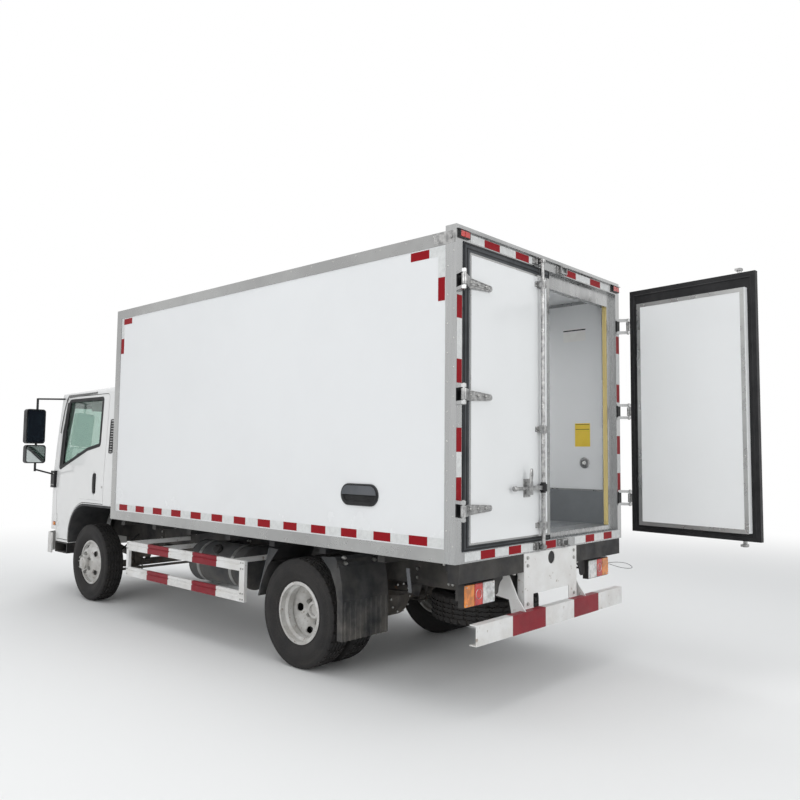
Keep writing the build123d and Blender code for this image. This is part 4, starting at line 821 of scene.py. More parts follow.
def sideVent():
    # hinged flap in a stadium surround: its upper half stands proud like a cowl
    v = ventSize
    form = bmesh.new()
    radius = v["height"] / 2
    reach = v["length"] / 2 - radius
    surface = boxSize["half"] + 0.0035
    outline = []
    for end, start in ((1, -90), (-1, 90)):
        for count in range(17):
            angle = math.radians(start + count * 180 / 16)
            outline.append((v["x"] + end * reach + (radius - 0.002) * math.cos(angle),
                boxSize["wall"] + 0.0002, v["z"] + (radius - 0.002) * math.sin(angle)))
    face = form.faces.new([form.verts.new(point) for point in outline])
    for inset, push in ((0.0, 0.0085), (0.005, 0.003), (0.012, 0.0), (0.004, -0.008)):
        if inset:
            bmesh.ops.inset_region(form, faces=[face], thickness=inset, depth=0)
        if push:
            pushed = bmesh.ops.extrude_face_region(form, geom=[face])["geom"]
            moved = [part for part in pushed if isinstance(part, bmesh.types.BMVert)]
            bmesh.ops.translate(form, verts=moved, vec=(0, push, 0))
            if face.is_valid:
                bmesh.ops.delete(form, geom=[face], context="FACES_ONLY")
            face = [part for part in pushed if isinstance(part, bmesh.types.BMFace)][0]
    for count in range(5):
        z = v["z"] - 0.008 - count * 0.01
        half = math.sqrt(max(0.0, (radius - 0.024) ** 2 - (z - v["z"]) ** 2)) + reach - 0.006
        addRod(form, (v["x"] - half, boxSize["wall"] + 0.0045, z),
               (v["x"] + half, boxSize["wall"] + 0.0045, z), 0.0022, 8)
    for x in (-0.105, -0.035, 0.035, 0.105):
        addHex(form, (v["x"] + x, surface + 0.003, v["z"] - radius + 0.0095), (0, 1, 0), 0.007, 0.003)
    makePiece("ventFlap", form, "trimBlack", sharp=40)
    cowl = bmesh.new()
    arc = []
    for angle in range(0, 181, 10):
        across, up = math.cos(math.radians(angle)), math.sin(math.radians(angle))
        side = 0 if abs(across) <= 0.001 else math.copysign(1, across)
        arc.append((v["x"] + reach * side + (radius - 0.012) * across, surface,
                    v["z"] + (radius - 0.012) * up))
    addOutline(cowl, arc, (0, 0.009, 0))
    makePiece("ventCowl", cowl, "flapGrey", 0.003)


sideTapes()
rearTapes()
boxScrews()
cornerCaps()
markerLamps()
sideVent()
print("stage: box dressed")


# Painted bands and the gear under the rear frame

bandSize = {
    "beamFace": -1.535, "beamBack": -1.485, "beam": (0.41, 0.53),
    "beamReds": ((0.165, 0.541), (-0.544, -0.2)),
    "guardReds": ((0.918, 1.26), (1.623, 1.965)),
    "guardRails": (0.385, 0.612), "guardHeight": 0.078, "guardInner": 0.974,
    "guardOuter": 1.0, "groove": 0.007, "skin": 0.0008,
}


def paintBands():
    b = bandSize
    skin = b["skin"]
    low, high = b["beam"]
    face, back = b["beamFace"], b["beamBack"]
    form = bmesh.new()
    for start, end in b["beamReds"]:
        sleeve = [(back, high + skin), (face - skin, high + skin), (face - skin, low - skin),
                  (back, low - skin), (back, low), (face, low), (face, high), (back, high)]
        addOutline(form, [(x, start, z) for x, z in sleeve], (0, end - start, 0))
    inner, outer = b["guardInner"], b["guardOuter"]
    for low in b["guardRails"]:
        high = low + b["guardHeight"]
        mid = low + 0.6 * b["guardHeight"]
        profile = [(outer - 0.002, high), (outer - 0.002, mid + 0.008),
            (outer - b["groove"], mid + 0.004), (outer - b["groove"], mid), (outer, mid - 0.006),
            (outer, low)]
        outside = [(y + skin, z) for y, z in profile]
        outside[0] = (outside[0][0], high + skin)
        outside[-1] = (outside[-1][0], low - skin)
        sleeve = [(inner, high + skin)] + outside + [(inner, low - skin), (inner, low)]
        sleeve += profile[::-1] + [(inner, high)]
        for side in (1, -1):
            for start, end in b["guardReds"]:
                addOutline(form, [(start, side * y, z) for y, z in sleeve], (end - start, 0, 0))
    makePiece("redBands", form, "bandRed")
    form = bmesh.new()
    for low in b["guardRails"]:
        for x in (0.57, 0.596, 2.31):
            for z in (low + 0.018, low + 0.062):
                addRod(form, (x, outer - 0.001, z), (x, outer + 0.0012, z), 0.0075, 14)
                addHex(form, (x, outer + 0.001, z), (0, 1, 0), 0.01, 0.004)
    makePair("guardBolts", form, "zincSteel")


def tailLamps():
    # y spans from the outer end in, on the left; the right is its mirror
    for name, start, end, finish in (("tailAmber", 0.892, 0.798, "lensOrange"),
            ("tailRed", 0.795, 0.715, "lensRed"), ("tailClear", 0.712, 0.592, "lensClear")):
        form = bmesh.new()
        addBox(form, (-1.4385, end, 0.613), (-1.429, start, 0.74))
        makePair(name, form, finish, 0.004)
    form = bmesh.new()
    for y, z in ((0.875, 0.625), (0.875, 0.728), (0.609, 0.625), (0.609, 0.728)):
        addRod(form, (-1.4383, y, z), (-1.4398, y, z), 0.0045, 12)
    # reflector ring moulded round the red lens
    addSpun(form, [(0.026, -0.001), (0.029, 0.0015), (0.032, -0.001)], (-1.4385, 0.755, 0.677),
            (-1, 0, 0), 28)
    makePair("tailScrews", form, "zincSteel")
    form = bmesh.new()
    hook = [(0.545, 0.752), (0.462, 0.746), (0.462, 0.732), (0.49, 0.712), (0.506, 0.684),
            (0.512, 0.652), (0.53, 0.64), (0.56, 0.64), (0.584, 0.655), (0.584, 0.735)]
    addOutline(form, [(-1.408, y, z) for y, z in hook], (0.006, 0, 0))
    addBox(form, (-1.402, 0.462, 0.734), (-1.362, 0.545, 0.74))
    makePair("lampHooks", form, "frameBlack", 0.0015)


def rearPlateGear():
    form = bmesh.new()
    for y in (0.292, -0.292):
        for z in (0.85, 0.8, 0.56):
            addRod(form, (-1.4805, y, z), (-1.4825, y, z), 0.012, 18)
            addHex(form, (-1.4822, y, z), (-1, 0, 0), 0.017, 0.007)
    makePiece("plateBolts", form, "zincSteel")
    form = bmesh.new()
    # a weld bead where each leg meets the beam
    for side in (1, -1):
        addRod(form, (-1.4835, side * 0.229, 0.5315), (-1.4835, side * 0.328, 0.5315), 0.004, 8)
        addRod(form, (-1.4725, side * 0.3345, 0.534), (-1.4325, side * 0.3345, 0.534), 0.004, 8)
    makePiece("plateWelds", form, "plateWhite")


def mudflapGear():
    form = bmesh.new()
    for side in (1, -1):
        for y, z in ((0.916, 0.806), (0.903, 0.768), (0.626, 0.767), (0.56, 0.76)):
            addRod(form, (-0.428, side * y, z), (-0.447, side * y, z), 0.013, 18)
            addHex(form, (-0.446, side * y, z), (-1, 0, 0), 0.018, 0.008)
            addRod(form, (-0.446, side * y, z), (-0.462, side * y, z), 0.005, 10)
    makePiece("flapBolts", form, "zincSteel")
    form = bmesh.new()
    addBox(form, (-0.4265, 0.52, 0.742), (-0.4225, 0.968, 0.79))
    addBox(form, (-0.4245, 0.9, 0.742), (-0.39, 0.906, 0.812))
    addBox(form, (-0.4245, 0.61, 0.742), (-0.39, 0.616, 0.812))
    makePair("flapBars", form, "frameBlack", 0.001)


def spareWheel():
    low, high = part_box("spare_wheel")
    middle = (low + high) / 2
    turn = Matrix.Translation(middle) @ Matrix.Rotation(math.radians(90), 4, "X")
    back = Matrix.Translation((0, 0, -wheelSize["radius"]))
    form = bmesh.new()
    addTyre(form, 0, 0)
    bmesh.ops.transform(form, matrix=turn @ back, verts=form.verts)
    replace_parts(makePiece("spareTyre", form, "tyreBlack"), "spare_wheel")
    form = bmesh.new()
    section = [(0.204, 0.062), (0.216, 0.07), (0.218, 0.066), (0.206, 0.058), (0.198, 0.05),
        (0.198, 0.02), (0.184, 0.01), (0.184, -0.016), (0.15, -0.03), (0.12, -0.052), (0.04, -0.054),
        (0.04, -0.062), (0.124, -0.06), (0.156, -0.038), (0.19, -0.024), (0.204, -0.05),
        (0.216, -0.068), (0.212, -0.072), (0.198, -0.064), (0.196, -0.03), (0.204, 0.012)]
    addSpun(form, [(r, -a) for r, a in section], middle, (0, 0, 1), 56)
    makePiece("spareRim", form, "rimWhite")
    form = bmesh.new()
    addRod(form, middle + Vector((0, 0, -0.11)), middle + Vector((0, 0, 0.062)), 0.01, 16)
    addHex(form, middle + Vector((0, 0, -0.112)), (0, 0, -1), 0.032, 0.016)
    makePiece("spareNut", form, "zincSteel")


paintBands()
tailLamps()
rearPlateGear()
mudflapGear()
spareWheel()
print("stage: rear underside dressed")


def addLoft(form, rings, joined=False):
    # rings of matching points, bridged in turn and capped at both ends
    loops = []
    for ring in rings:
        knots = [form.verts.new(point) for point in ring]
        loops.append([form.edges.new(pair) for pair in zip(knots, knots[1:] + knots[:1])])
    for near, far in zip(loops, loops[1:] + (loops[:1] if joined else [])):
        bmesh.ops.bridge_loops(form, edges=near + far)
    if not joined:
        for loop in (loops[0], loops[-1]):
            bmesh.ops.contextual_create(form, geom=loop)


def addLoop(form, x, low, high, width, depth):
    # a flat rectangular border on a plane across the truck; low and high are (y, z)
    back, front = sorted((x, x - depth))
    addBox(form, (back, low[0], low[1]), (front, low[0] + width, high[1]))
    addBox(form, (back, high[0] - width, low[1]), (front, high[0], high[1]))
    addBox(form, (back, low[0] + width, low[1]), (front, high[0] - width, low[1] + width))
    addBox(form, (back, low[0] + width, high[1] - width), (front, high[0] - width, high[1]))


# Rear doors: hinge dressing, locking gear, borders and seals

leafSize = {
    "face": -1.486, "plugFace": -1.406, "near": 0.03, "far": 0.916, "low": 0.98, "high": 2.705,
    "pin": (-1.545, 1.05), "rest": 83, "border": 0.011, "plug": ((0.08, 1.0), (0.888, 2.648)),
    "hinges": (1.186, 1.85, 2.515), "strap": (0.961, 0.725), "strapHalf": 0.033,
    "strapTip": 0.018, "strapFace": -1.498, "bolts": (0.925, 0.85, 0.775),
    "rod": (-1.516, 0.157), "brackets": (1.05, 1.675, 2.64),
    "keepers": (0.913, 2.797), "handle": 1.295, "knob": (0.345, 0.505),
}


def addStrapRibs(form):
    d = leafSize
    start, end = d["strap"]
    skin, wall = d["strapFace"] + 0.001, 0.0055
    for z in d["hinges"]:
        for root, tip in ((1.0, 1.0), (0.36, 0.36), (-0.18, -0.18), (-0.78, -0.64)):
            top, topTip = z + root * d["strapHalf"], z + tip * d["strapTip"]
            addOutline(form, [(skin, start, top), (skin, end, topTip), (skin, end, topTip - wall),
                (skin, start, top - wall)], (-0.005, 0, 0))
        addRod(form, (d["face"], end, z), (d["strapFace"] - 0.002, end, z), d["strapTip"], 24)
        addRod(form, (d["strapFace"], start - 0.008, z - 0.031),
               (d["strapFace"], start - 0.008, z + 0.031), 0.006, 14)
        for y in d["bolts"]:
            foot = Vector((d["strapFace"], y, z + 0.004))
            addRod(form, foot, foot - Vector((0.005, 0, 0)), 0.0095, 16)


def addStrapBolts(form):
    d = leafSize
    for z in d["hinges"]:
        for y in d["bolts"]:
            addDome(form, (d["strapFace"] - 0.005, y, z + 0.004), (-1, 0, 0), 0.0065, 0.0045)
        for end in (-1, 1):
            addDome(form, (*d["pin"], z + end * 0.058), (0, 0, end), 0.0105, 0.006)


def addLeafBorder(form):
    d = leafSize
    addLoop(form, d["face"], (d["near"], d["low"]), (d["far"], d["high"]), d["border"], 0.0016)
    addBox(form, (d["face"] - 0.004, d["near"], d["low"]), (d["face"], d["near"] + 0.03, d["high"]))
    low, high = d["plug"]
    addLoop(form, d["plugFace"] + 0.0015, low, high, 0.028, 0.0015)


def addLeafRivets(form):
    d = leafSize
    (near, low), (far, high) = d["plug"]
    spots = [(y, low + 0.05 + count * (high - low - 0.1) / 10)
             for count in range(11) for y in (near + 0.014, far - 0.014)]
    spots += [(near + 0.06 + count * (far - near - 0.12) / 5, z)
              for count in range(6) for z in (low + 0.014, high - 0.014)]
    for y, z in spots:
        addDome(form, (d["plugFace"] + 0.0012, y, z), (1, 0, 0), 0.0045, 0.0022)


def addSealLips(form):
    # a double lip outside and a bulb on the inner side, all round the leaf
    for inset in (0.004, 0.03):
        addLoop(form, -1.4815, (0.0205 + 0.15 * inset, 0.949 + inset * 0.6),
                (0.971 - inset, 2.76 - inset), 0.006, 0.003)
    corners = [(0.05, 0.975), (0.935, 0.975), (0.935, 2.722), (0.05, 2.722)]
    for (y, z), (nextY, nextZ) in zip(corners, corners[1:] + corners[:1]):
        addRod(form, (-1.4475, y, z), (-1.4475, nextY, nextZ), 0.0065, 12)
    addBox(form, (-1.47, 0.0205, 2.7), (-1.449, 0.048, 2.758))


def addLockCastings(form):
    d = leafSize
    x, y = d["rod"]
    for z in d["brackets"]:
        addRod(form, (x, y, z - 0.027), (x, y, z + 0.027), 0.0195, 24)
        for side in (-1, 1):
            addBox(form, (d["face"] - 0.006, y + side * 0.024, z - 0.017),
                   (d["face"], y + side * 0.05, z + 0.017))
            for rise in (-0.009, 0.009):
                addDome(form, (d["face"] - 0.006, y + side * 0.04, z + rise), (-1, 0, 0), 0.0052, 0.004)
    for z in d["keepers"]:
        addRod(form, (x, y, z - 0.011), (x, y, z + 0.011), 0.0185, 20)
        addRod(form, (x - 0.004, y - 0.019, z), (x - 0.004, y + 0.019, z), 0.0095, 14)
    z = d["handle"]
    catch = y + 0.157
    addBox(form, (d["face"] - 0.006, catch - 0.04, z - 0.058), (d["face"], catch + 0.034, z + 0.058))
    for rise in (-0.048, 0.048):
        for side in (-0.03, 0.024):
            addDome(form, (d["face"] - 0.006, catch + side, z + rise), (-1, 0, 0), 0.0055, 0.004)
    addRod(form, (x - 0.002, d["knob"][0], z), (x - 0.002, d["knob"][1] - 0.03, z), 0.011, 20)
    addSpun(form, [(0.0004, -0.032), (0.012, -0.032), (0.0165, -0.026), (0.0165, -0.005),
                   (0.013, 0.0), (0.0004, 0.0)], (x - 0.002, d["knob"][1], z), (0, 1, 0), 24, False)
    # the lever that stands up from the catch, a rounded bar leaning a little off the leaf
    ring = []
    for rise, lean, half, thick in ((0.0, 0.0, 0.016, 0.008), (0.035, -0.004, 0.017, 0.008),
            (0.085, -0.009, 0.018, 0.007), (0.112, -0.01, 0.014, 0.006), (0.12, -0.01, 0.006, 0.004)):
        middle = Vector((x - 0.014 + lean, catch + 0.02, z + 0.006 + rise))
        ring.append([middle + Vector((thick * across, half * along, 0))
            for across, along in circle(12)])
    addLoft(form, ring)


def addLockCollars(form):
    d = leafSize
    x, y = d["rod"]
    z = d["handle"]
    bmesh.ops.create_cone(form, cap_ends=True, segments=28, radius1=0.0245, radius2=0.0245, depth=0.05,
        matrix=Matrix.Translation((x, y, z)))
    for rise in (-0.03, 0.03):
        addSpun(form, [(0.014 + 0.0045 * out, 0.0045 * up) for out, up in circle(8)],
                (x, y, z + rise), (0, 0, 1), 28)


leafDress = {
    # piece: maker, finish, rounding of its edges
    "strapRibs": (addStrapRibs, "castBright", 0.0012),
    "strapBolts": (addStrapBolts, "zincSteel", 0),
    "leafBorder": (addLeafBorder, "trimAluminium", 0),
    "leafRivets": (addLeafRivets, "zincSteel", 0),
    "sealLips": (addSealLips, "sealBlack", 0),
    "lockCastings": (addLockCastings, "castBright", 0.001),
    "lockCollars": (addLockCollars, "trimBlack", 0.0008),
}


def swingOpen(form):
    # the right leaf carries the left one's fittings mirrored, swung open with it
    pin = Vector((leafSize["pin"][0], -leafSize["pin"][1], 0))
    swing = Matrix.Rotation(math.radians(leafSize["rest"]), 4, "Z")
    place = Matrix.Translation(pin) @ swing @ Matrix.Translation(-pin)
    bmesh.ops.transform(form, matrix=place @ Matrix.Diagonal((1, -1, 1, 1)), verts=form.verts)


def dressLeaves():
    for side in ("left", "right"):
        for name, (maker, finish, soft) in leafDress.items():
            form = bmesh.new()
            maker(form)
            if side == "right":
                swingOpen(form)
            makePiece(f"rear_{side}_{name}", form, finish, soft, f"rear_door_{side}")


dressLeaves()
print("stage: rear doors dressed")


# Rear frame: hinge pads, keepers, jamb strips, threshold and liners

portalSize = {
    "rear": -1.476, "padY": (0.984, 1.034), "padHalf": 0.044, "keeperY": 0.157,
    "clear": 0.9, "floor": 0.98, "plate": (-1.432, -1.265), "top": 2.66,
}


def portalGear():
    p = portalSize
    form = bmesh.new()
    for z in leafSize["hinges"]:
        addBox(form, (p["rear"] - 0.007, p["padY"][0], z - p["padHalf"]),
               (p["rear"], p["padY"][1], z + p["padHalf"]))
    makePair("hingePads", form, "sealBlack", 0.002)
    form = bmesh.new()
    for z in leafSize["keepers"]:
        away = 1 if z < 2 else -1
        for side in (-1, 1):
            y = p["keeperY"] + side * 0.037
            addBox(form, (p["rear"] - 0.024, y - 0.005, z - 0.024), (p["rear"], y + 0.005, z + 0.024))
            addBox(form, (p["rear"] - 0.006, y, z - 0.022), (p["rear"], y + side * 0.028, z + 0.022))
            for rise in (-0.012, 0.012):
                addDome(form, (p["rear"] - 0.006, y + side * 0.016, z + rise), (-1, 0, 0),
                        0.006, 0.0045)
        addRod(form, (p["rear"] - 0.03, p["keeperY"] - 0.036, z - away * 0.02),
               (p["rear"] - 0.03, p["keeperY"] + 0.036, z - away * 0.02), 0.0055, 14)
    makePair("rodKeepers", form, "castBright", 0.001)
    form = bmesh.new()
    addBox(form, (p["plate"][0], -p["clear"] + 0.002, p["floor"]),
           (p["plate"][1], p["clear"] - 0.002, p["floor"] + 0.003))
    makePiece("thresholdPlate", form, "treadPlate", 0.0012)
    form = bmesh.new()
    addBox(form, (-1.437, -p["clear"] - 0.001, p["floor"] + 0.003),
        (-1.404, -p["clear"] + 0.006, p["top"]))
    makePair("jambFoam", form, "seamYellow", 0.002)
    form = bmesh.new()
    for y in (-0.72, -0.36, 0.0, 0.36, 0.72):
        for x in (p["plate"][0] + 0.02, p["plate"][1] - 0.02):
            addDome(form, (x, y, p["floor"] + 0.003), (0, 0, 1), 0.0085, 0.0028)
    makePiece("thresholdScrews", form, "zincSteel")
    # dark liner on the sill's step, white liner on the header's
    form = bmesh.new()
    addBox(form, (-1.476, -0.974, 0.943), (-1.437, 0.974, 0.9445))
    addBox(form, (-1.438, -0.974, 0.9445), (-1.436, 0.974, 0.9825))
    makePiece("sillLiner", form, "floorGrey", 0.0004)
    form = bmesh.new()
    addBox(form, (-1.438, -0.974, 2.661), (-1.436, 0.974, 2.764))
    makePiece("headerLiner", form, "innerWhite", 0.0004)


portalGear()
print("stage: rear frame fitted")


# Load space: labels, ring fitting, lamp, coving, evaporator fans

roomSize = {
    "wall": 0.952, "front": 2.507, "rear": -1.394, "top": 2.741,
    "yellowLabel": ((-1.264, 1.577), (-1.131, 1.762)), "whiteLabel": ((-1.23, 2.423), (-1.031, 2.529)),
    "fitting": (-1.214, 1.449), "fittingRadius": 0.043, "fans": (-0.34, 0.0, 0.34),
    "kick": 1.232, "cove": 0.022,
}


def roomLabels():
    r = roomSize
    for name, key, finish in (("paleYellowLabel", "yellowLabel", "labelYellow"),
            ("smallWhiteLabel", "whiteLabel", "labelWhite")):
        low, high = r[key]
        form = bmesh.new()
        addBox(form, (low[0], -r["wall"], low[1]), (high[0], -r["wall"] + 0.0009, high[1]))
        makePiece(name, form, finish, 0.0003)
    low, high = r["yellowLabel"]
    form = bmesh.new()
    for rise in (0.004, -0.034):
        addBox(form, (low[0] + 0.006, -r["wall"], high[1] - 0.012 + rise - 0.004),
               (high[0] - 0.006, -r["wall"] + 0.0013, high[1] - 0.012 + rise))
    low, high = r["whiteLabel"]
    addBox(form, (low[0], -r["wall"], high[1] - 0.02), (high[0], -r["wall"] + 0.0013, high[1] - 0.01))
    makePiece("labelRules", form, "trimBlack")


def roomFittings():
    r = roomSize
    x, z = r["fitting"]
    form = bmesh.new()
    big = r["fittingRadius"]
    addSpun(form, [(0.0004, 0.0), (big, 0.0), (big, 0.004), (big - 0.006, 0.01), (0.024, 0.012),
                   (0.022, 0.005), (0.0004, 0.005)], (x, -r["wall"], z), (0, 1, 0), 40, False)
    for across, up in circle(4, 0.5):
        addDome(form, (x + 0.032 * across, -r["wall"] + 0.0095, z + 0.032 * up), (0, 1, 0), 0.004,
            0.003)
    makePiece("wallFitting", form, "castBright", 0.0006)
    form = bmesh.new()
    addSpun(form, [(0.0004, 0.004), (0.015, 0.004), (0.013, 0.014), (0.0004, 0.016)],
            (x, -r["wall"], z), (0, 1, 0), 24, False)
    makePiece("wallFittingPlug", form, "labelWhite")
    # aluminium coving where walls meet roof, floor guard and front wall
    form = bmesh.new()
    wall, top, rear, front = r["wall"], r["top"], r["rear"], r["front"]
    kick, cove = r["kick"], r["cove"]
    addOutline(form, [(rear, wall, top - cove), (rear, wall, top), (rear, wall - cove, top)],
               (front - rear, 0, 0))
    addOutline(form, [(front - cove, wall, kick), (front, wall, kick), (front, wall - cove, kick)],
               (0, 0, top - kick))
    addBox(form, (rear, wall - 0.0035, kick - 0.004), (front, wall, kick + 0.011))
    makePair("roomCoving", form, "trimAluminium")
    form = bmesh.new()
    for count in range(27):
        addDome(form, (r["rear"] + 0.06 + count * 0.147, wall - 0.0035, 1.2355), (0, -1, 0), 0.0035,
            0.002)
    makePair("roomRivets", form, "zincSteel")
    # two round lamps on the ceiling
    base, lens = bmesh.new(), bmesh.new()
    for x in (-0.6, 1.3):
        addSpun(base, [(0.0004, 0.0), (0.09, 0.0), (0.09, 0.01), (0.076, 0.02), (0.0004, 0.02)],
                (x, 0, top), (0, 0, -1), 40, False)
        addDome(lens, (x, 0, top - 0.018), (0, 0, -1), 0.074, 0.03)
    makePiece("roomLampBases", base, "labelWhite")
    makePiece("roomLampLenses", lens, "lensClear")


def fanGuard(form, spot, direction, radius, rings, wire):
    # a wire guard: rings joined by spokes, standing off its fan
    place = aimed(spot, direction)
    for count in range(rings):
        share = (count + 1) / rings
        addSpun(form, [(radius * share + wire * out, 0.014 * (1 - share) + wire * up)
                       for out, up in circle(6)], spot, direction, 40)
    for across, up in circle(6):
        out = Vector((across, up, 0))
        addRod(form, place @ (out * 0.02 + Vector((0, 0, 0.013))), place @ (out * radius), wire, 6)


def fanBlades(form, spot, direction, radius, blades=7):
    place = aimed(spot, direction)
    for blade in range(blades):
        angle = 2 * math.pi * blade / blades
        ring = []
        for reach, half in ((0.22, 0.05), (0.6, 0.17), (0.95, 0.24)):
            points = []
            for part, rise in ((-1, -1), (1, 1), (1, 0.8), (-1, -1.2)):
                turn = angle + part * half
                points.append(place @ Vector((radius * reach * math.cos(turn),
                    radius * reach * math.sin(turn), rise * 0.01)))
            ring.append(points)
        addLoft(form, ring)
    addSpun(form, [(0.0004, -0.012), (0.26 * radius, -0.012), (0.26 * radius, 0.008),
                   (0.18 * radius, 0.014), (0.0004, 0.014)], spot, direction, 24, False)


def evaporatorDetail():
    # three fans on the sloped face of the unit inside, with its drain tray and coil fins
    r = roomSize
    slope = Vector((-0.12, 0, -0.24)).normalized()
    guards, blades, rings = bmesh.new(), bmesh.new(), bmesh.new()
    for y in r["fans"]:
        spot = Vector((2.297, y, 2.571)) + slope * 0.002
        addSpun(rings, [(0.098, 0.0), (0.128, 0.0), (0.128, 0.006), (0.108, 0.01), (0.098, 0.004)],
                spot, slope, 40)
        fanGuard(guards, spot + slope * 0.006, slope, 0.1, 6, 0.0012)
        fanBlades(blades, spot + slope * 0.001, slope, 0.088)
    makePiece("evaporatorRings", rings, "unitWhite")
    makePiece("evaporatorGuards", guards, "zincSteel")
    makePiece("evaporatorBlades", blades, "trimBlack")
    form = bmesh.new()
    addBox(form, (2.4, -0.525, 2.5), (2.505, 0.525, 2.512))
    for count in range(52):
        y = -0.505 + count * 0.0198
        addBox(form, (2.4185, y, 2.514), (2.421 + 0.06, y + 0.002, 2.52))
    makePiece("evaporatorTray", form, "trimAluminium")


roomLabels()
roomFittings()
evaporatorDetail()
print("stage: load space fitted")


# Cab outside: seals, rail, handles, lamps, mirrors, arches

cabSize = {
    "nose": 4.405, "brow": 1.25, "lean": 0.1944,
    "window": [(3.18, 2.043, 0.025), (3.949, 2.043, 0.07), (4.043, 1.72, 0.12), (4.063, 1.305, 0.02),
    (3.45, 1.515, 0.09), (3.18, 1.56, 0.025)],
    "screen": [(-0.75, 1.34, 0.05), (-0.69, 2.01, 0.05), (0.69, 2.01, 0.05), (0.75, 1.34, 0.05)],
    "rearGlass": [(-0.45, 1.56, 0.05), (-0.45, 1.96, 0.05), (0.45, 1.96, 0.05), (0.45, 1.56, 0.05)],
    "arch": (3.44, 0.59), "archRadius": 0.36, "archFront": 3.8, "archTop": 0.95,
    "handle": (3.25, 1.177), "keyhole": (3.062, 1.146), "rear": 2.72, "crease": (3.1, 3.57, 1.013),
}


def cabSideAt(z):
    # how far the bowed side of the cab stands out at a height
    if z > 1.37:
        return 0.892 - 0.0467 * (z - 1.15)
    if z < 0.93:
        return 0.892 - 0.0267 * (1.15 - z)
    return 0.8882 - (z - 1.09) ** 2 / 12


def cabFrontAt(y, z):
    # the windscreen's plane, or the bowed nose where that is further back
    plane = cabSize["nose"] + 0.008 - cabSize["lean"] * max(0.0, z - cabSize["brow"])
    corner = max(0.0, abs(y) - 0.708)
    bow = cabSize["nose"] - y * y / 9.0 - (0.18 - math.sqrt(max(0.0, 0.0324 - corner * corner)))
    return min(plane, bow)


def onSide(spot, lift):
    return Vector((spot.x, cabSideAt(spot.y) + lift, spot.y))


def onScreen(spot, lift):
    return Vector((cabFrontAt(spot.x, spot.y) + lift, spot.x, spot.y))


def onBack(spot, lift):
    return Vector((cabSize["rear"] - lift, spot.x, spot.y))


def roundedOutline(corners, steps=5):
    # (across, up, radius) corners made into points, an arc at each
    points = []
    for before, corner, after in zip(corners[-1:] + corners[:-1], corners, corners[1:] + corners[:1]):
        spot = Vector(corner[:2])
        into = (Vector(before[:2]) - spot).normalized()
        away = (Vector(after[:2]) - spot).normalized()
        half = into.angle(away) / 2
        centre = spot + (into + away).normalized() * corner[2] / math.sin(half)
        start = spot + into * corner[2] / math.tan(half) - centre
        end = spot + away * corner[2] / math.tan(half) - centre
        for step in range(steps + 1):
            ray = start.lerp(end, step / steps).normalized()
            points.append(centre + ray * corner[2])
    return points


def rectangle(left, low, right, high, radius):
    return [(left, low, radius), (left, high, radius), (right, high, radius), (right, low, radius)]


def addBand(form, outline, outward, inward, lift, sink, place):
    # a flat band along a closed outline, laid on a curved skin
    centre = sum(outline, Vector((0, 0))) / len(outline)
    rings = []
    for index, spot in enumerate(outline):
        along = outline[(index + 1) % len(outline)] - outline[index - 1]
        out = Vector((along.y, -along.x)).normalized()
        if out.dot(spot - centre) < 0:
            out = -out
        outer, inner = spot + out * outward, spot - out * inward
        rings.append([place(outer, -sink), place(outer, lift), place(inner, lift), place(inner, -sink)])
    addLoft(form, rings, joined=True)


def longOutline(corners):
    # the outline with points added on its straight runs, so that it can bend with the skin
    points = roundedOutline(corners)
    full = []
    for spot, after in zip(points, points[1:] + points[:1]):
        pieces = max(1, int((after - spot).length / 0.08))
        full += [spot.lerp(after, step / pieces) for step in range(pieces)]
    return full


def bothDoors(name, maker, finish, soft=0.0):
    for side, sign in (("left", 1), ("right", -1)):
        form = bmesh.new()
        maker(form)
        bmesh.ops.scale(form, vec=(1, sign, 1), verts=form.verts)
        makePiece(f"cab_{side}_{name}", form, finish, soft, f"cab_door_{side}")


def addWindowSeal(form):
    outline = longOutline(cabSize["window"])
    addBand(form, outline, 0.012, 0.022, 0.0025, 0.006, onSide)
    # the fixed dark quarter ahead of the sliding glass
    front = [(4.0, 2.02), (4.046, 1.72), (4.062, 1.312), (3.99, 1.336), (3.975, 1.72), (3.925, 2.02)]
    addLoft(form, [[onSide(Vector(spot), lift) for spot in front] for lift in (-0.012, 0.001)])


def addDoorHandle(form):
    x, z = cabSize["handle"]
    base = cabSideAt(z)
    rings = []
    for lift, wide, tall in ((-0.011, 0.03, 0.11), (0.004, 0.03, 0.11), (0.01, 0.024, 0.102),
            (0.012, 0.014, 0.09)):
        ring = []
        for across, up in circle(16, 0.5):
            grow = 1 / max(abs(across), abs(up)) ** 0.55
            ring.append((x + wide * across * grow, base + lift, z + tall * up * grow * 0.94))
        rings.append(ring)
    addLoft(form, rings)


def addKeyhole(form):
    x, z = cabSize["keyhole"]
    base = cabSideAt(z)
    addRod(form, (x + 0.022, base - 0.003, z), (x + 0.022, base + 0.003, z), 0.011, 20)
    addBox(form, (x + 0.0205, base + 0.003, z - 0.005), (x + 0.0235, base + 0.0042, z + 0.005))


def addDoorCrease(form):
    # the moulded line low on the door
    start, end, z = cabSize["crease"]
    rings = []
    for step in range(13):
        x = start + (end - start) * step / 12
        taper = math.sin(math.pi * step / 12) ** 0.5 if 0 < step < 12 else 0.05
        rings.append([onSide(Vector((x, z + rise * taper)), lift) for rise, lift in
                      ((-0.009, -0.002), (0.0, 0.004 * taper), (0.009, -0.002))])
    addLoft(form, rings)


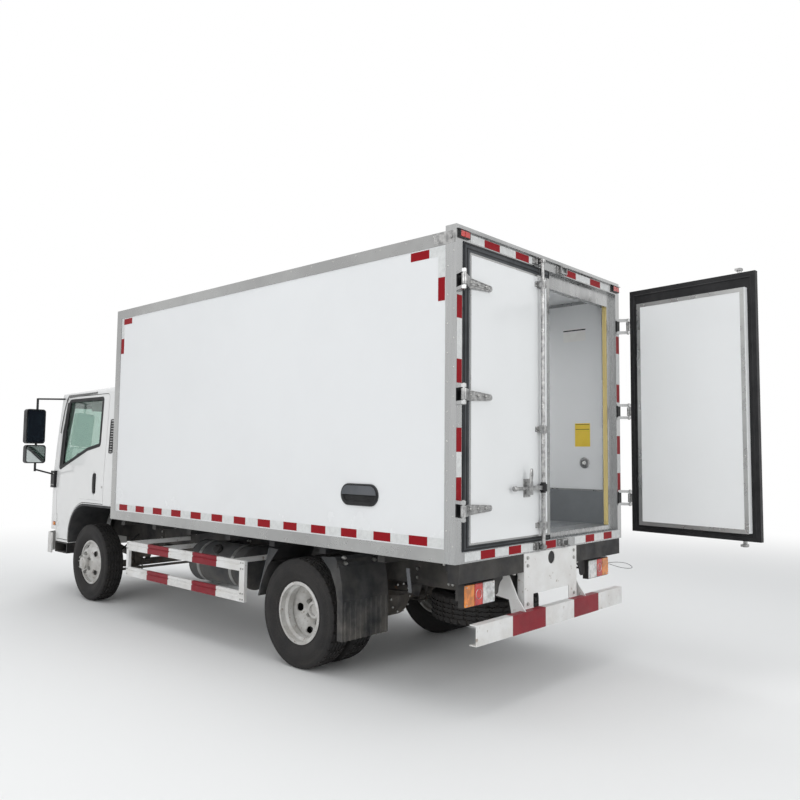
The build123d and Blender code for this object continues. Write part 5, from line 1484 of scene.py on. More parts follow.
def addDoorCard(form):
    # the trim inside the leaf: a padded panel, an arm rest and a pocket
    inner = 0.826
    addBox(form, (3.13, inner - 0.012, 0.985), (3.8, inner - 0.002, 1.48))
    addBox(form, (3.28, inner - 0.06, 1.18), (3.64, inner - 0.012, 1.225))
    addBox(form, (3.3, inner - 0.04, 1.02), (3.7, inner - 0.012, 1.09))
    addRod(form, (3.7, inner - 0.03, 1.29), (3.7, inner - 0.012, 1.29), 0.03, 24)
    addRod(form, (3.7, inner - 0.026, 1.29), (3.76, inner - 0.03, 1.33), 0.008, 12)


for name, maker, finish, soft in (("windowSeal", addWindowSeal, "sealBlack", 0.0),
        ("doorHandle", addDoorHandle, "trimBlack", 0.002),
        ("doorKeyhole", addKeyhole, "zincSteel", 0.0), ("doorCrease", addDoorCrease, "cabWhite", 0.0),
        ("doorCard", addDoorCard, "cabinGrey", 0.008)):
    bothDoors(name, maker, finish, soft)


def cabSeals():
    form = bmesh.new()
    addBand(form, longOutline(cabSize["screen"]), 0.016, 0.03, 0.003, 0.03, onScreen)
    addBand(form, longOutline(cabSize["rearGlass"]), 0.014, 0.022, 0.004, 0.03, onBack)
    makePiece("glassSeals", form, "sealBlack", 0.0, "cab")
    # the dark cowl below the screen
    form = bmesh.new()
    rings = []
    for step in range(25):
        y = -0.72 + step * 0.06
        rings.append([Vector((cabFrontAt(y, z) + lift, y, z)) for z, lift in
                      ((1.252, -0.004), (1.256, 0.004), (1.318, 0.004), (1.322, -0.004))])
    addLoft(form, rings)
    makePiece("screenCowl", form, "trimBlack", 0.001, "cab")
    # the rain rail above the door, deeper towards the front
    form = bmesh.new()
    rings = []
    for step in range(21):
        share = step / 20
        x, z = 3.33 + share * 0.64, 2.106 - share * 0.006
        drop = 0.014 + 0.016 * share
        side = cabSideAt(z) - 0.004
        rings.append([(x, side, z + 0.006), (x, side + 0.013, z), (x, side + 0.013, z - drop),
                      (x, side + 0.009, z - drop), (x, side, z - 0.004)])
    for x, z in ((3.995, 2.08), (4.03, 2.02), (4.06, 1.93), (4.088, 1.8), (4.104, 1.7)):
        side = cabSideAt(z) - 0.004
        rings.append([(x + 0.004, side, z + 0.006), (x + 0.004, side + 0.009, z),
            (x - 0.01, side + 0.009, z - 0.01), (x - 0.01, side + 0.007, z - 0.01),
            (x - 0.004, side, z - 0.004)])
    addLoft(form, rings)
    makePair("rainRails", form, "glossBlack", 0.0, "cab")


def cabSmallParts():
    # louvred slot on the rear corner of each side
    form = bmesh.new()
    for z in (1.5 + 0.0255 * step for step in range(12)):
        side = cabSideAt(z)
        addOutline(form, [(2.925, side - 0.002, z), (2.925, side + 0.007, z),
            (2.925, side + 0.004, z + 0.018), (2.925, side - 0.002, z + 0.018)], (0.052, 0, 0))
    addBand(form, longOutline(rectangle(2.915, 1.485, 2.987, 1.815, 0.012)),
            0.004, 0.007, 0.004, 0.003, onSide)
    makePair("cornerLouvres", form, "trimBlack", 0.0, "cab")
    # round cap at the foot of the corner and the turn marker beside it
    form = bmesh.new()
    addSpun(form, [(0.0004, -0.004), (0.024, -0.004), (0.022, 0.004), (0.0004, 0.006)],
            (4.062, cabSideAt(0.722), 0.722), (0, 1, 0), 28, False)
    makePair("jackCaps", form, "labelWhite", 0.0, "cab")
    lens, base = bmesh.new(), bmesh.new()
    addBox(base, (4.118, 0.868, 0.698), (4.176, 0.882, 0.742))
    addBox(lens, (4.122, 0.878, 0.702), (4.172, 0.892, 0.738))
    makePair("turnMarkerLenses", lens, "lensOrange", 0.005, "cab")
    makePair("turnMarkerBases", base, "trimBlack", 0.003, "cab")
    # low marker lamp on each roof edge
    lens, base = bmesh.new(), bmesh.new()
    for y in (-0.62, 0.62):
        spot = nodes["cab_roof"].ray_cast((4.0, y, 3.0), (0, 0, -1))[1]
        addBox(base, (3.96, y - 0.05, spot.z - 0.01), (4.035, y + 0.05, spot.z + 0.006))
        addDome(lens, (3.998, y, spot.z + 0.004), (0, 0, 1), 0.03, 0.024)
    makePiece("roofMarkerBases", base, "trimBlack", 0.004, "cab")
    makePiece("roofMarkerLenses", lens, "lensOrange", 0.0, "cab")


def archLiners():
    # black liner and flare round the front arch, from the platform down behind the step
    c = cabSize
    x0, z0 = c["arch"]
    form = bmesh.new()
    path = [(2.79, c["archTop"])] + [(x0 - 0.15 + 0.05 * step, c["archTop"]) for step in range(3)]
    path += [(x0 + c["archRadius"] * math.sin(turn), z0 + c["archRadius"] * math.cos(turn))
             for turn in (math.pi / 2 * step / 12 for step in range(1, 13))]
    path.append((c["archFront"], 0.545))
    rings = []
    for index, (x, z) in enumerate(path):
        before, after = path[max(0, index - 1)], path[min(len(path) - 1, index + 1)]
        along = Vector((after[0] - before[0], after[1] - before[1])).normalized()
        down = Vector((along.y, -along.x))
        near = Vector((x, z)) + down * 0.0015
        far = Vector((x, z)) + down * 0.006
        side = cabSideAt(z)
        lip = side + 0.004
        rise = Vector((x, z)) - down * 0.016
        rings.append([(near.x, 0.48, near.y), (near.x, side - 0.004, near.y),
            (rise.x, lip - 0.006, rise.y), (rise.x, lip, rise.y), (far.x, lip, far.y),
            (far.x, 0.48, far.y)])
    addLoft(form, rings)
    makePair("archLiners", form, "mudBlack", 0.0, "cab")


def mirrorDetail():
    # glass behind each head (the upper one near black, a painted dark reflection), its rim, and the
    # bolts of the bracket
    glass, small, rims, bolts = bmesh.new(), bmesh.new(), bmesh.new(), bmesh.new()
    heads = ((1.004, 1.204, 1.576, 1.946, glass), (0.99, 1.2, 1.366, 1.562, small))
    x, rim = 4.185, 0.012
    for inner, outer, low, high, pane in heads:
        outline = roundedOutline(rectangle(inner, low, outer, high, 0.03))
        addBand(rims, outline, -0.001, 0.011, 0.004, 0.006,
                lambda spot, lift: Vector((x - lift, spot.x, spot.y)))
        shrunk = roundedOutline(rectangle(inner + rim, low + rim, outer - rim, high - rim, 0.02))
        addOutline(pane, [(x, spot.x, spot.y) for spot in shrunk], (-0.0015, 0, 0))
    for z in (1.135, 1.255):
        for x in (4.135, 4.18):
            addDome(bolts, (x, 0.918, z), (0, 1, 0), 0.008, 0.006)
    for form, name, finish in ((glass, "mirrorPanes", "mirrorDark"),
            (small, "lowMirrorPanes", "mirrorGlass"), (rims, "mirrorRims", "glossBlack"),
            (bolts, "mirrorBolts", "zincSteel")):
        makePair(name, form, finish, 0.0, "cab")


def headlampDetail():
    # a clear cover over a bright bowl, on the place of the lamp
    cover, bowl, bulbs, bezels = bmesh.new(), bmesh.new(), bmesh.new(), bmesh.new()
    low, high = (0.566, 0.77), (0.804, 0.955)
    columns, rows = 15, 11
    for form, depth in ((cover, None), (bowl, 0.075)):
        made = bmesh.ops.create_grid(form, x_segments=columns, y_segments=rows, size=0.5)["verts"]
        for v in made:
            y = low[0] + (v.co.x + 0.5) * (high[0] - low[0])
            z = low[1] + (v.co.y + 0.5) * (high[1] - low[1])
            skin = cabFrontAt(y, z) - 0.002
            edge = max(abs(v.co.x), abs(v.co.y)) > 0.499
            if depth:
                dip = min(((y - middle) ** 2 + (z - 0.862) ** 2) / 0.058 ** 2
                          for middle in (0.625, 0.745))
                skin -= 0.01 if edge else 0.018 + depth * max(0.0, 1 - dip) ** 0.7
            v.co = (skin, y, z)
        bmesh.ops.solidify(form, geom=form.verts[:] + form.edges[:] + form.faces[:], thickness=0.0025)
    for y in (0.625, 0.745):
        base = Vector((cabFrontAt(y, 0.862) - 0.085, y, 0.862))
        addRod(bulbs, base, base + Vector((0.03, 0, 0)), 0.01, 16)
        addDome(bulbs, base + Vector((0.03, 0, 0)), (1, 0, 0), 0.01, 0.012)
        addSpun(bezels, [(0.052, 0.0), (0.057, 0.0), (0.057, 0.006), (0.052, 0.004)],
                (cabFrontAt(y, 0.862) - 0.022, y, 0.862), (1, 0, 0), 36)
    outline = longOutline(rectangle(0.56, 0.765, 0.81, 0.96, 0.012))
    addBand(bezels, outline, 0.003, 0.01, 0.003, 0.06, onScreen)
    for form, name, finish in ((cover, "lampCovers", "lampGlass"), (bowl, "lampBowls", "mirrorGlass"),
            (bulbs, "lampBulbs", "labelWhite"), (bezels, "lampBezels", "trimBlack")):
        made = makePair(name, form, finish, 0.0, "cab")
        if name == "lampCovers":
            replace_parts(made, "headlamps")


def wipers():
    form = bmesh.new()
    for y, length in ((-0.42, 0.5), (0.1, 0.5)):
        pivot = Vector((cabFrontAt(y, 1.3) + 0.004, y, 1.3))
        addRod(form, pivot - Vector((0.02, 0, 0)), pivot + Vector((0.016, 0, 0)), 0.012, 18)
        middle = Vector((cabFrontAt(y + 0.22, 1.4) + 0.01, y + 0.22, 1.4))
        addRod(form, pivot + Vector((0.012, 0, 0)), middle, 0.006, 10, 0.0045)
        rings = []
        for step in range(9):
            share = step / 8
            across = middle.y - length / 2 + length * share
            z = 1.365 + 0.075 * share
            skin = cabFrontAt(across, z) - 0.018
            rings.append([(skin, across, z - 0.003), (skin + 0.02, across, z - 0.005),
                          (skin + 0.02, across, z + 0.005), (skin, across, z + 0.003)])
        addLoft(form, rings)
    makePiece("wiperArms", form, "trimBlack", 0.0006, "cab")


cabSeals()
cabSmallParts()
archLiners()
mirrorDetail()
headlampDetail()
wipers()
print("stage: cab outside fitted")


# Seats: padded cushions and backs, with piping, belts and bases

seatSize = {
    # y spans of the driver's seat and the passengers' bench
    "spans": ((0.17, 0.67), (-0.7, 0.12)), "base": 1.005, "rear": 2.95,
    "voxel": 0.012, "pressure": 4.0, "frames": 14, "cap": 0.018,
}


def padForm(corners, low, high, inset=0.01):
    # a block of the pad's side outline, its corners rounded
    form = bmesh.new()
    addOutline(form, [(x, low + inset, z) for x, z in corners], (0, high - low - 2 * inset, 0))
    bmesh.ops.recalc_face_normals(form, faces=form.faces)
    edges = [edge for edge in form.edges if edge.calc_face_angle(0) > 0.5]
    bmesh.ops.bevel(form, geom=edges, offset=0.022, segments=3, profile=0.5, affect="EDGES",
        material=-1)
    return form


def swell(made):
    # blow the pad up a little as cloth, and keep each point near its start
    s = seatSize
    remesh = made.modifiers.new("even", "REMESH")
    remesh.mode = "VOXEL"
    remesh.voxel_size = s["voxel"]
    depsgraph = bpy.context.evaluated_depsgraph_get()
    made.data = bpy.data.meshes.new_from_object(made.evaluated_get(depsgraph))
    made.modifiers.clear()
    start = [v.co.copy() for v in made.data.vertices]
    cloth = made.modifiers.new("pad", "CLOTH")
    cloth.settings.use_pressure = True
    cloth.settings.uniform_pressure_force = s["pressure"]
    cloth.settings.effector_weights.gravity = 0
    cloth.settings.quality = 4
    cloth.point_cache.frame_start, cloth.point_cache.frame_end = 1, s["frames"]
    scene = bpy.context.scene
    for count in range(1, s["frames"] + 1):
        scene.frame_set(count)
        bpy.context.view_layer.update()
    depsgraph = bpy.context.evaluated_depsgraph_get()
    swollen = bpy.data.meshes.new_from_object(made.evaluated_get(depsgraph))
    made.modifiers.clear()
    made.data = swollen
    scene.frame_set(1)
    for v, home in zip(swollen.vertices, start):
        move = v.co - home
        if move.length > s["cap"]:
            v.co = home + move.normalized() * s["cap"]


def sewChannels(made, low, high, rows, axis):
    # shallow sewn lines pressed into the pad across its width
    for v in made.data.vertices:
        for spot in rows:
            gap = abs((v.co.x if axis == "x" else v.co.z) - spot)
            if gap < 0.018 and min(v.co.y - low, high - v.co.y) > 0.03:
                v.co -= v.normal * 0.007 * (1 - gap / 0.018) ** 2


def addPiping(form, corners, y):
    middle = sum((Vector(spot) for spot in corners), Vector((0, 0))) / len(corners)
    points = [Vector(spot).lerp(middle, 0.03) for spot in corners]
    outline = roundedOutline([(*spot, 0.028) for spot in points], 4)
    rings = []
    for index, spot in enumerate(outline):
        along = (outline[(index + 1) % len(outline)] - outline[index - 1]).normalized()
        out = Vector((along.y, -along.x))
        rings.append([(spot.x + out.x * 0.0045 * away, y + 0.0045 * side,
                       spot.y + out.y * 0.0045 * away) for away, side in circle(6)])
    addLoft(form, rings, joined=True)


def makeSeats():
    s = seatSize
    rear, base = s["rear"], s["base"]
    cushion = [(rear + 0.01, base + 0.05), (rear + 0.01, base + 0.18),
               (rear + 0.48, base + 0.195), (rear + 0.488, base + 0.05)]
    backRest = [(rear - 0.135, base + 0.2), (rear - 0.148, base + 0.64),
                (rear - 0.085, base + 0.64), (rear - 0.012, base + 0.19)]
    headRest = [(rear - 0.146, base + 0.665), (rear - 0.15, base + 0.808),
                (rear - 0.084, base + 0.808), (rear - 0.072, base + 0.665)]
    for word, (low, high) in zip(("Driver", "Passenger"), s["spans"]):
        places = [("Cushion", cushion, low, high, "x", (rear + 0.14, rear + 0.26, rear + 0.38)),
                  ("Back", backRest, low, high, "z", (base + 0.32, base + 0.44, base + 0.56))]
        heads = [(low + 0.11, high - 0.11)] if word == "Driver" else [(low + 0.05, low + 0.33),
            (high - 0.33, high - 0.05)]
        for count, (near, far) in enumerate(heads):
            places.append((f"Head{count}", headRest, near, far, "z", ()))
        for part, corners, near, far, axis, rows in places:
            made = makePiece(f"seat{word}{part}", padForm(corners, near, far), "seatCloth", 0.0, "cab",
                60)
            swell(made)
            sewChannels(made, near, far, rows, axis)
            made.data.shade_smooth()
            smooth = made.modifiers.new("smooth", "SUBSURF")
            smooth.levels = smooth.render_levels = 1
            if (word, part) == ("Driver", "Cushion"):
                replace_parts(made, "seats")
        seams = bmesh.new()
        for corners in (cushion, backRest):
            for y in (low + 0.02, high - 0.02):
                addPiping(seams, corners, y)
        makePiece(f"seat{word}Piping", seams, "wiringBlack", 0.0, "cab")
        stands = bmesh.new()
        addBox(stands, (rear + 0.02, low + 0.04, base), (rear + 0.46, high - 0.04, base + 0.048))
        for near, far in heads:
            middle = (near + far) / 2
            for y in (middle - 0.045, middle + 0.045):
                addRod(stands, (rear - 0.115, y, base + 0.62), (rear - 0.115, y, base + 0.7), 0.006, 12)
        makePiece(f"seat{word}Stand", stands, "trimBlack", 0.006, "cab")
        belt = bmesh.new()
        side = high if word == "Driver" else low
        out = 1 if word == "Driver" else -1
        rings = []
        for share in (step / 12 for step in range(13)):
            spot = Vector((rear - 0.15, side + out * 0.06, base + 0.86)).lerp(
                Vector((rear - 0.02, side + out * 0.045, base + 0.14)), share)
            bow = math.sin(math.pi * share) * 0.01
            rings.append([spot + Vector((bow - 0.022, 0.0, 0)), spot + Vector((bow + 0.022, 0.0, 0)),
                spot + Vector((bow + 0.022, 0.0018, 0)), spot + Vector((bow - 0.022, 0.0018, 0))])
        addLoft(belt, rings)
        addBox(belt, (rear - 0.04, side + out * 0.045 - 0.008, base + 0.1),
               (rear + 0.01, side + out * 0.045 + 0.008, base + 0.16))
        makePiece(f"seat{word}Belt", belt, "wiringBlack", 0.0005, "cab")


makeSeats()
print("stage: seats padded")


# Cab inside: headliner, visors, dials, pedals, steering wheel grip, floor mat

def cabInside():
    form = bmesh.new()
    addBox(form, (2.79, -0.775, 2.064), (3.88, 0.775, 2.082))
    makePiece("headliner", form, "headliner", 0.006, "cab")
    form = bmesh.new()
    for y in (-0.42, 0.42):
        addBox(form, (3.84, y - 0.23, 1.935), (3.858, y + 0.23, 2.062))
    makePiece("sunVisors", form, "headliner", 0.007, "cab")
    form = bmesh.new()
    addBox(form, (2.79, -0.77, 1.006), (3.76, 0.77, 1.0095))
    for y in (-0.6 + 0.1 * step for step in range(13)):
        addBox(form, (2.8, y, 1.0095), (3.74, y + 0.035, 1.013))
    makePiece("floorMat", form, "sealBlack", 0.001, "cab")
    # dial hood with two dials and their bezels, vents and switch rows
    hood, dials, vents = bmesh.new(), bmesh.new(), bmesh.new()
    rings = []
    for step in range(13):
        turn = math.pi * step / 12
        y, z = 0.42 - 0.185 * math.cos(turn), 1.325 + 0.095 * math.sin(turn)
        rings.append([(3.7, y, z), (3.86, y, z - 0.012), (3.86, y, z - 0.022), (3.7, y, z - 0.008)])
    addLoft(hood, rings)
    for y in (0.345, 0.495):
        addSpun(dials, [(0.0004, 0.0), (0.062, 0.0), (0.062, 0.006), (0.057, 0.01), (0.055, 0.002),
            (0.0004, 0.002)], (3.76, y, 1.36), (-1, 0, 0.25), 36, False)
        for mark in range(9):
            turn = math.radians(-30 + 30 * mark)
            spot = aimed((3.76, y, 1.36), (-1, 0, 0.25))
            addRod(vents, spot @ Vector((0.04 * math.cos(turn), 0.04 * math.sin(turn), 0.003)),
                   spot @ Vector((0.05 * math.cos(turn), 0.05 * math.sin(turn), 0.003)), 0.0012, 6)
    for y in (-0.62, -0.1, 0.08, 0.71):
        for step in range(5):
            addBox(vents, (3.612, y - 0.06, 1.205 + 0.011 * step),
                (3.624, y + 0.06, 1.209 + 0.011 * step))
    makePiece("dialHood", hood, "cabinGrey", 0.003, "cab")
    makePiece("dials", dials, "glossBlack", 0.0, "cab")
    makePiece("dialMarks", vents, "labelWhite", 0.0, "cab")
    # a grip over the rim of the wheel and its horn pad
    centre = Vector((3.8, 0.42, 1.4))
    axis = Vector((-0.6, 0, 0.8))
    grip, pad = bmesh.new(), bmesh.new()
    addSpun(grip, [(0.208 + 0.0135 * out, 0.0135 * up) for out, up in circle(10)], centre, axis, 64)
    addSpun(pad, [(0.0004, 0.026), (0.04, 0.026), (0.056, 0.02), (0.06, 0.006), (0.05, -0.01)],
            centre, axis, 40, False)
    makePiece("wheelGrip", grip, "sealBlack", 0.0, "cab")
    makePiece("hornPad", pad, "trimBlack", 0.0, "cab")
    pedals = bmesh.new()
    for y in (0.27, 0.38, 0.5):
        addRod(pedals, (3.9, y, 1.2), (3.78, y, 1.09), 0.008, 12)
        addBox(pedals, (3.765, y - 0.028, 1.06), (3.779, y + 0.028, 1.115))
    addRod(pedals, (3.45, 0.06, 1.01), (3.5, 0.06, 1.33), 0.008, 14)
    addDome(pedals, (3.5, 0.06, 1.335), (0, 0, 1), 0.022, 0.026)
    makePiece("pedals", pedals, "trimBlack", 0.001, "cab")


cabInside()
print("stage: cab inside fitted")


# Under the truck: clamps, dampers, air tank, lines, straps and bolts

underSize = {
    "springY": 0.345,
    # start, end, y, z and radius
    "tank": (0.9, 1.65, 0.61, 0.56, 0.172),
    "muffler": (1.9, 2.45, -0.53, 0.56, 0.088),
}


def springClamps():
    # two U-bolts on each spring, with their plates and nuts
    y = underSize["springY"]
    form = bmesh.new()
    for x, top, low in ((0.0, 0.575, 0.318), (3.36, 0.53, 0.29)):
        for along in (-0.062, 0.062):
            for leg in (y - 0.04, y + 0.04):
                addRod(form, (x + along, leg, low - 0.028), (x + along, leg, top), 0.007, 12)
                addHex(form, (x + along, leg, low - 0.01), (0, 0, -1), 0.021, 0.012)
            addRod(form, (x + along, y - 0.04, top), (x + along, y + 0.04, top), 0.007, 12)
        addBox(form, (x - 0.08, y - 0.052, low - 0.01), (x + 0.08, y + 0.052, low))
    makePair("springClamps", form, "castGrey", 0.0008)


def dampers():
    form, rods = bmesh.new(), bmesh.new()
    for x, low, top in ((-0.21, (0.345, 0.33), (0.33, 0.7)), (3.15, (0.345, 0.35), (0.345, 0.74))):
        foot = Vector((x + 0.1, low[0] - 0.075, low[1] + 0.02))
        head = Vector((x, top[0] - 0.02, top[1]))
        middle = foot.lerp(head, 0.52)
        addRod(form, foot, middle, 0.026, 22)
        addRod(form, middle - (head - foot) * 0.02, head, 0.031, 22)
        for end in (foot, head):
            addRod(rods, end - Vector((0, 0.024, 0)), end + Vector((0, 0.024, 0)), 0.017, 18)
    makePair("dampers", form, "frameBlack", 0.002)
    makePair("damperEyes", rods, "castGrey", 0.001)


def airTank():
    # one air reservoir hung inside the left rail, with straps and a drain
    form, straps = bmesh.new(), bmesh.new()
    y, z, radius = 0.17, 0.64, 0.092
    addSpun(form, [(0.0004, 1.7), (0.05, 1.706), (0.08, 1.722), (radius, 1.75), (radius, 2.08),
                   (0.08, 2.108), (0.05, 2.124), (0.0004, 2.13)], (0, y, z), (1, 0, 0), 36, False)
    for x in (1.8, 2.02):
        addHoop(straps, x, (y, z), radius + 0.0005, radius + 0.0035, 0.012, 36)
        addBox(straps, (x - 0.014, y + 0.08, z + 0.02), (x + 0.014, 0.366, z + 0.034))
    addHex(straps, (1.9, y, z - radius + 0.002), (0, 0, -1), 0.022, 0.016)
    makePiece("airTank", form, "frameBlack")
    makePiece("airTankStraps", straps, "castGrey", 0.0006)


def pipesAndLines():
    runs = {
        # name: radius, finish, points
        "brakeLine": (0.004, "copperPipe", ((3.2, 0.362, 0.735), (2.6, 0.36, 0.728),
                      (1.7, 0.36, 0.73), (0.7, 0.358, 0.726), (0.15, 0.34, 0.722),
                      (0.02, 0.2, 0.64), (0.0, 0.12, 0.51))),
        "rearLoom": (0.009, "wiringBlack", ((2.95, 0.355, 0.7), (2.2, 0.357, 0.69),
                     (1.2, 0.356, 0.7), (0.3, 0.357, 0.692), (-0.6, 0.356, 0.702),
                     (-1.25, 0.357, 0.694), (-1.345, 0.42, 0.69), (-1.372, 0.56, 0.69))),
        "rightLoom": (0.007, "wiringBlack", ((-1.25, -0.356, 0.7), (-1.335, -0.42, 0.694),
                      (-1.372, -0.56, 0.69))),
        "airLine": (0.006, "wiringBlack", ((2.1, 0.2, 0.72), (2.3, 0.3, 0.7),
                    (2.5, 0.35, 0.66), (2.9, 0.352, 0.65), (3.15, 0.352, 0.655))),
        "hoseLeft": (0.007, "sealBlack", ((3.25, 0.38, 0.64), (3.29, 0.44, 0.575),
                     (3.32, 0.54, 0.47), (3.34, 0.59, 0.43))),
        "hoseRight": (0.007, "sealBlack", ((3.25, -0.38, 0.64), (3.29, -0.44, 0.575),
                      (3.32, -0.54, 0.47), (3.34, -0.59, 0.43))),
        "coolantFlow": (0.017, "wiringBlack", ((2.613, -0.42, 2.44), (2.612, -0.42, 2.2),
                        (2.612, -0.42, 1.6), (2.612, -0.42, 1.0), (2.6, -0.4, 0.8),
                        (2.64, -0.3, 0.7))),
        "coolantReturn": (0.012, "wiringBlack", ((2.61, -0.37, 2.44), (2.608, -0.37, 2.2),
                          (2.608, -0.37, 1.6), (2.608, -0.37, 1.0), (2.596, -0.35, 0.8),
                          (2.64, -0.27, 0.69))),
        "lampWire": (0.0018, "wiringBlack", ((-1.4, -0.93, 0.69), (-1.425, -1.0, 0.665),
                     (-1.49, -1.075, 0.64), (-1.549, -1.095, 0.65), (-1.52, -1.04, 0.69),
                     (-1.45, -0.96, 0.7), (-1.405, -0.9, 0.69))),
    }
    for name, (radius, finish, points) in runs.items():
        makeTube(name, points, radius, finish)
    form = bmesh.new()
    for z in (2.3, 1.9, 1.5, 1.1):
        addBox(form, (2.59, -0.446, z - 0.01), (2.594, -0.346, z + 0.01))
        for y in (-0.42, -0.37):
            addSpun(form, [(0.0185, -0.008), (0.02, -0.008), (0.02, 0.008), (0.0185, 0.008)],
                    (2.61, y, z), (0, 0, 1), 20)
    for x in (2.7, 2.0, 1.45, 0.8, 0.4, -0.3, -0.9):
        addBox(form, (x - 0.006, 0.346, 0.684), (x + 0.006, 0.369, 0.738))
    makePiece("lineClips", form, "zincSteel", 0.0006)


def tankDetail():
    start, end, y, z, radius = underSize["tank"]
    straps, cap, seams = bmesh.new(), bmesh.new(), bmesh.new()
    for x in (1.045, 1.505):
        addHoop(straps, x, (y, z), radius + 0.0006, radius + 0.0036, 0.02, 64)
        addRod(straps, (x, y + 0.12, z + 0.13), (x, y + 0.15, z + 0.1), 0.006, 12)
    for x in (start + 0.012, end - 0.012):
        addHoop(seams, x, (y, z), radius + 0.0004, radius + 0.0045, 0.007, 64, 0.003)
    neck = Vector((1.27, y + 0.118, z + 0.118))
    out = Vector((0, 0.7, 0.7)).normalized()
    addSpun(cap, [(0.0004, 0.0), (0.036, 0.0), (0.036, 0.018), (0.042, 0.02), (0.042, 0.04),
                  (0.036, 0.046), (0.0004, 0.046)], neck, out, 32, False)
    addBox(cap, (1.262, neck.y + 0.01, neck.z + 0.04), (1.278, neck.y + 0.05, neck.z + 0.052))
    makePiece("tankStraps", straps, "trimAluminium", 0.0006)
    makePiece("tankSeams", seams, "tankGrey")
    makePiece("tankCap", cap, "trimBlack", 0.002)


def mufflerDetail():
    start, end, y, z, radius = underSize["muffler"]
    form = bmesh.new()
    for x in (start + 0.01, start + 0.14, end - 0.14, end - 0.01):
        addHoop(form, x, (y, z), radius + 0.0004, radius + 0.004, 0.006, 48, 0.003)
    for x in (end + 0.03, 2.64):
        addHoop(form, x, (y, z), 0.0265, 0.0305, 0.012, 28)
        addRod(form, (x, y - 0.034, z), (x, y - 0.034, z + 0.026), 0.005, 10)
    makePiece("mufflerBands", form, "exhaustSteel")


def batteryDetail():
    # ribs, lid and latches on the battery box
    form, latches = bmesh.new(), bmesh.new()
    addBox(form, (1.244, -0.902, 0.672), (1.726, -0.556, 0.702))
    for count in range(9):
        x = 1.275 + count * 0.0525
        addBox(form, (x - 0.007, -0.904, 0.455), (x + 0.007, -0.898, 0.668))
    for x in (1.34, 1.63):
        addBox(latches, (x - 0.014, -0.909, 0.64), (x + 0.014, -0.901, 0.69))
    makePiece("batteryRibs", form, "trimBlack", 0.004)
    makePiece("batteryLatches", latches, "zincSteel", 0.002)


def boltsUnder():
    # rail bolts at the cross members, bearer bolts, axle cover bolts and shackle bolts
    form = bmesh.new()
    for x in (-1.39, -0.965, 0.56, 1.3, 2.15):
        for along in (0.02, 0.055):
            for z in (0.625, 0.725):
                addHex(form, (x + along, 0.375, z), (0, 1, 0), 0.018, 0.009)
    for x in (-0.63, 0.61, 2.78, 3.95):
        for z in (0.64, 0.7):
            addHex(form, (x, 0.375, z), (0, 1, 0), 0.022, 0.011)
    first, last = -1.446, 2.517
    for count in range(8):
        x = first + count * (last - first) / 7
        addHex(form, (x, 0.395, 0.76), (0, 0, -1), 0.02, 0.01)
    mirrorAcross(form)
    for across, up in circle(10):
        addHex(form, (-0.118, 0.108 * across, 0.38 + 0.108 * up), (-1, 0, 0), 0.014, 0.01)
    makePiece("underBolts", form, "zincSteel")
    form = bmesh.new()
    for x, z in ((0.36, 0.392), (2.27, 0.56)):
        way = Vector((1.94, 0, 0.168)).normalized()
        addRod(form, Vector((x, 0, z)) - way * 0.04, Vector((x, 0, z)) + way * 0.04, 0.052, 24)
        addRod(form, (x, -0.062, z), (x, 0.062, z), 0.016, 16)
        addRod(form, (x, 0, z - 0.062), (x, 0, z + 0.062), 0.016, 16)
    makePiece("shaftJoints", form, "castGrey", 0.001)


def flapGear():
    # strap behind the left flap, pale edge of each mudguard
    form = bmesh.new()
    for step in range(6):
        x, y, z = -1.0, 0.9 - 0.004 * step, 0.795 - 0.025 * step
        addBox(form, (x - 0.014, y - 0.0015, z - 0.026), (x + 0.014, y + 0.0015, z))
    makePiece("hangStrap", form, "flapGrey")
    form = bmesh.new()
    addRod(form, (0.303, 0.964, 0.812), (0.424, 0.964, 0.45), 0.0035, 8)
    makePair("guardEdges", form, "flapGrey")


for step in (springClamps, dampers, airTank, pipesAndLines, tankDetail, mufflerDetail,
             batteryDetail, boltsUnder, flapGear):
    step()
print("stage: underside fitted")


# Refrigeration unit: fans, louvres and seams

unitSize = {
    "back": 2.591, "front": 2.976, "half": 0.6, "bottom": 2.425, "top": 2.8,
    "fanY": 0.3, "fanZ": 2.59, "fanRadius": 0.12,
}


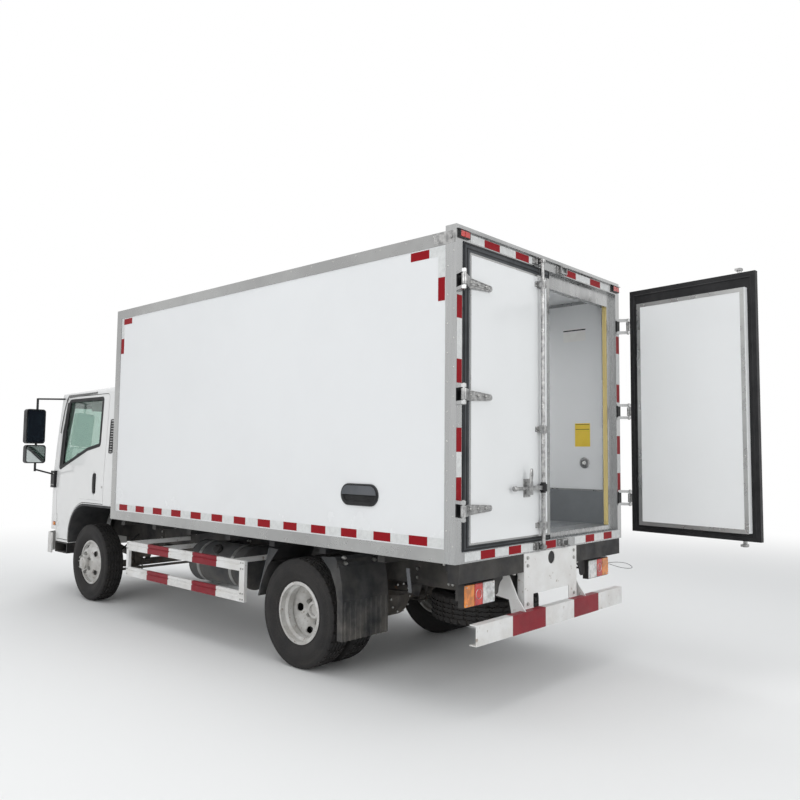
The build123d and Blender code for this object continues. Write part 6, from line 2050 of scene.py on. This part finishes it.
def unitDetail():
    u = unitSize
    guards, blades, louvres, seams = bmesh.new(), bmesh.new(), bmesh.new(), bmesh.new()
    for y in (-u["fanY"], u["fanY"]):
        spot = Vector((u["front"] - 0.006, y, u["fanZ"]))
        fanBlades(blades, spot - Vector((0.02, 0, 0)), (1, 0, 0), 0.108)
        fanGuard(guards, spot - Vector((0.004, 0, 0)), (1, 0, 0), u["fanRadius"] - 0.002, 7, 0.0014)
    for side in (-1, 1):
        for count in range(9):
            z = 2.47 + count * 0.026
            base = side * u["half"]
            addOutline(louvres, [(u["back"] + 0.05, base - side * 0.001, z),
                (u["back"] + 0.05, base + side * 0.006, z + 0.003),
                (u["back"] + 0.05, base - side * 0.001, z + 0.018)], (0.24, 0, 0))
    for y in (-0.21, 0.21):
        addBox(seams, (u["front"] - 0.0005, y - 0.0015, u["bottom"] + 0.062),
               (u["front"] + 0.0008, y + 0.0015, u["top"] - 0.122))
    for y in (-0.56, -0.05, 0.05, 0.56):
        for z in (2.5, 2.665):
            addDome(seams, (u["front"], y, z), (1, 0, 0), 0.006, 0.003)
    makePiece("unitFanGuards", guards, "trimBlack")
    makePiece("unitFanBlades", blades, "trimBlack")
    makePiece("unitLouvres", louvres, "unitWhite")
    makePiece("unitSeams", seams, "zincSteel")


unitDetail()


# Nose: grille mesh, bright bar, bumper lamps and the bare plate

def noseDetail():
    mesh, bar, lamps, lenses = bmesh.new(), bmesh.new(), bmesh.new(), bmesh.new()
    for count in range(29):
        y = -0.43 + count * 0.0307
        addBox(mesh, (cabFrontAt(y, 0.9) - 0.036, y - 0.0015, 0.768),
               (cabFrontAt(y, 0.9) - 0.03, y + 0.0015, 0.952))
    rings = []
    for step in range(21):
        y = -0.455 + step * 0.0455
        skin = cabFrontAt(y, 0.98)
        rings.append([(skin - 0.004, y, 0.984), (skin + 0.006, y, 0.986), (skin + 0.006, y, 1.004),
                      (skin - 0.004, y, 1.006)])
    addLoft(bar, rings)
    for side in (-1, 1):
        for y in (0.7, 0.56):
            skin = nodes["front_bumper"].ray_cast((5.0, side * y, 0.51), (-1, 0, 0))[1]
            addSpun(lamps, [(0.036, -0.004), (0.043, -0.002), (0.043, 0.004), (0.036, 0.002)],
                    (skin.x, side * y, 0.51), (1, 0, 0), 32)
            addDome(lenses, (skin.x - 0.001, side * y, 0.51), (1, 0, 0), 0.036, 0.006)
    skin = nodes["front_bumper"].ray_cast((5.0, 0.0, 0.52), (-1, 0, 0))[1]
    plate = bmesh.new()
    addBox(plate, (skin.x - 0.001, -0.22, 0.45), (skin.x + 0.0004, 0.22, 0.59))
    makePiece("grilleMesh", mesh, "trimBlack", 0.0, "cab")
    makePiece("noseBar", bar, "trimAluminium", 0.001, "cab")
    makePiece("bumperLampRims", lamps, "trimBlack")
    makePiece("bumperLampLenses", lenses, "lensClear")
    makePiece("barePlate", plate, "labelWhite")


noseDetail()
print("stage: unit and nose fitted")

placeCamera()
placeLamps()
whiteSurround()
layFloor()
print("stage: truck dressed")
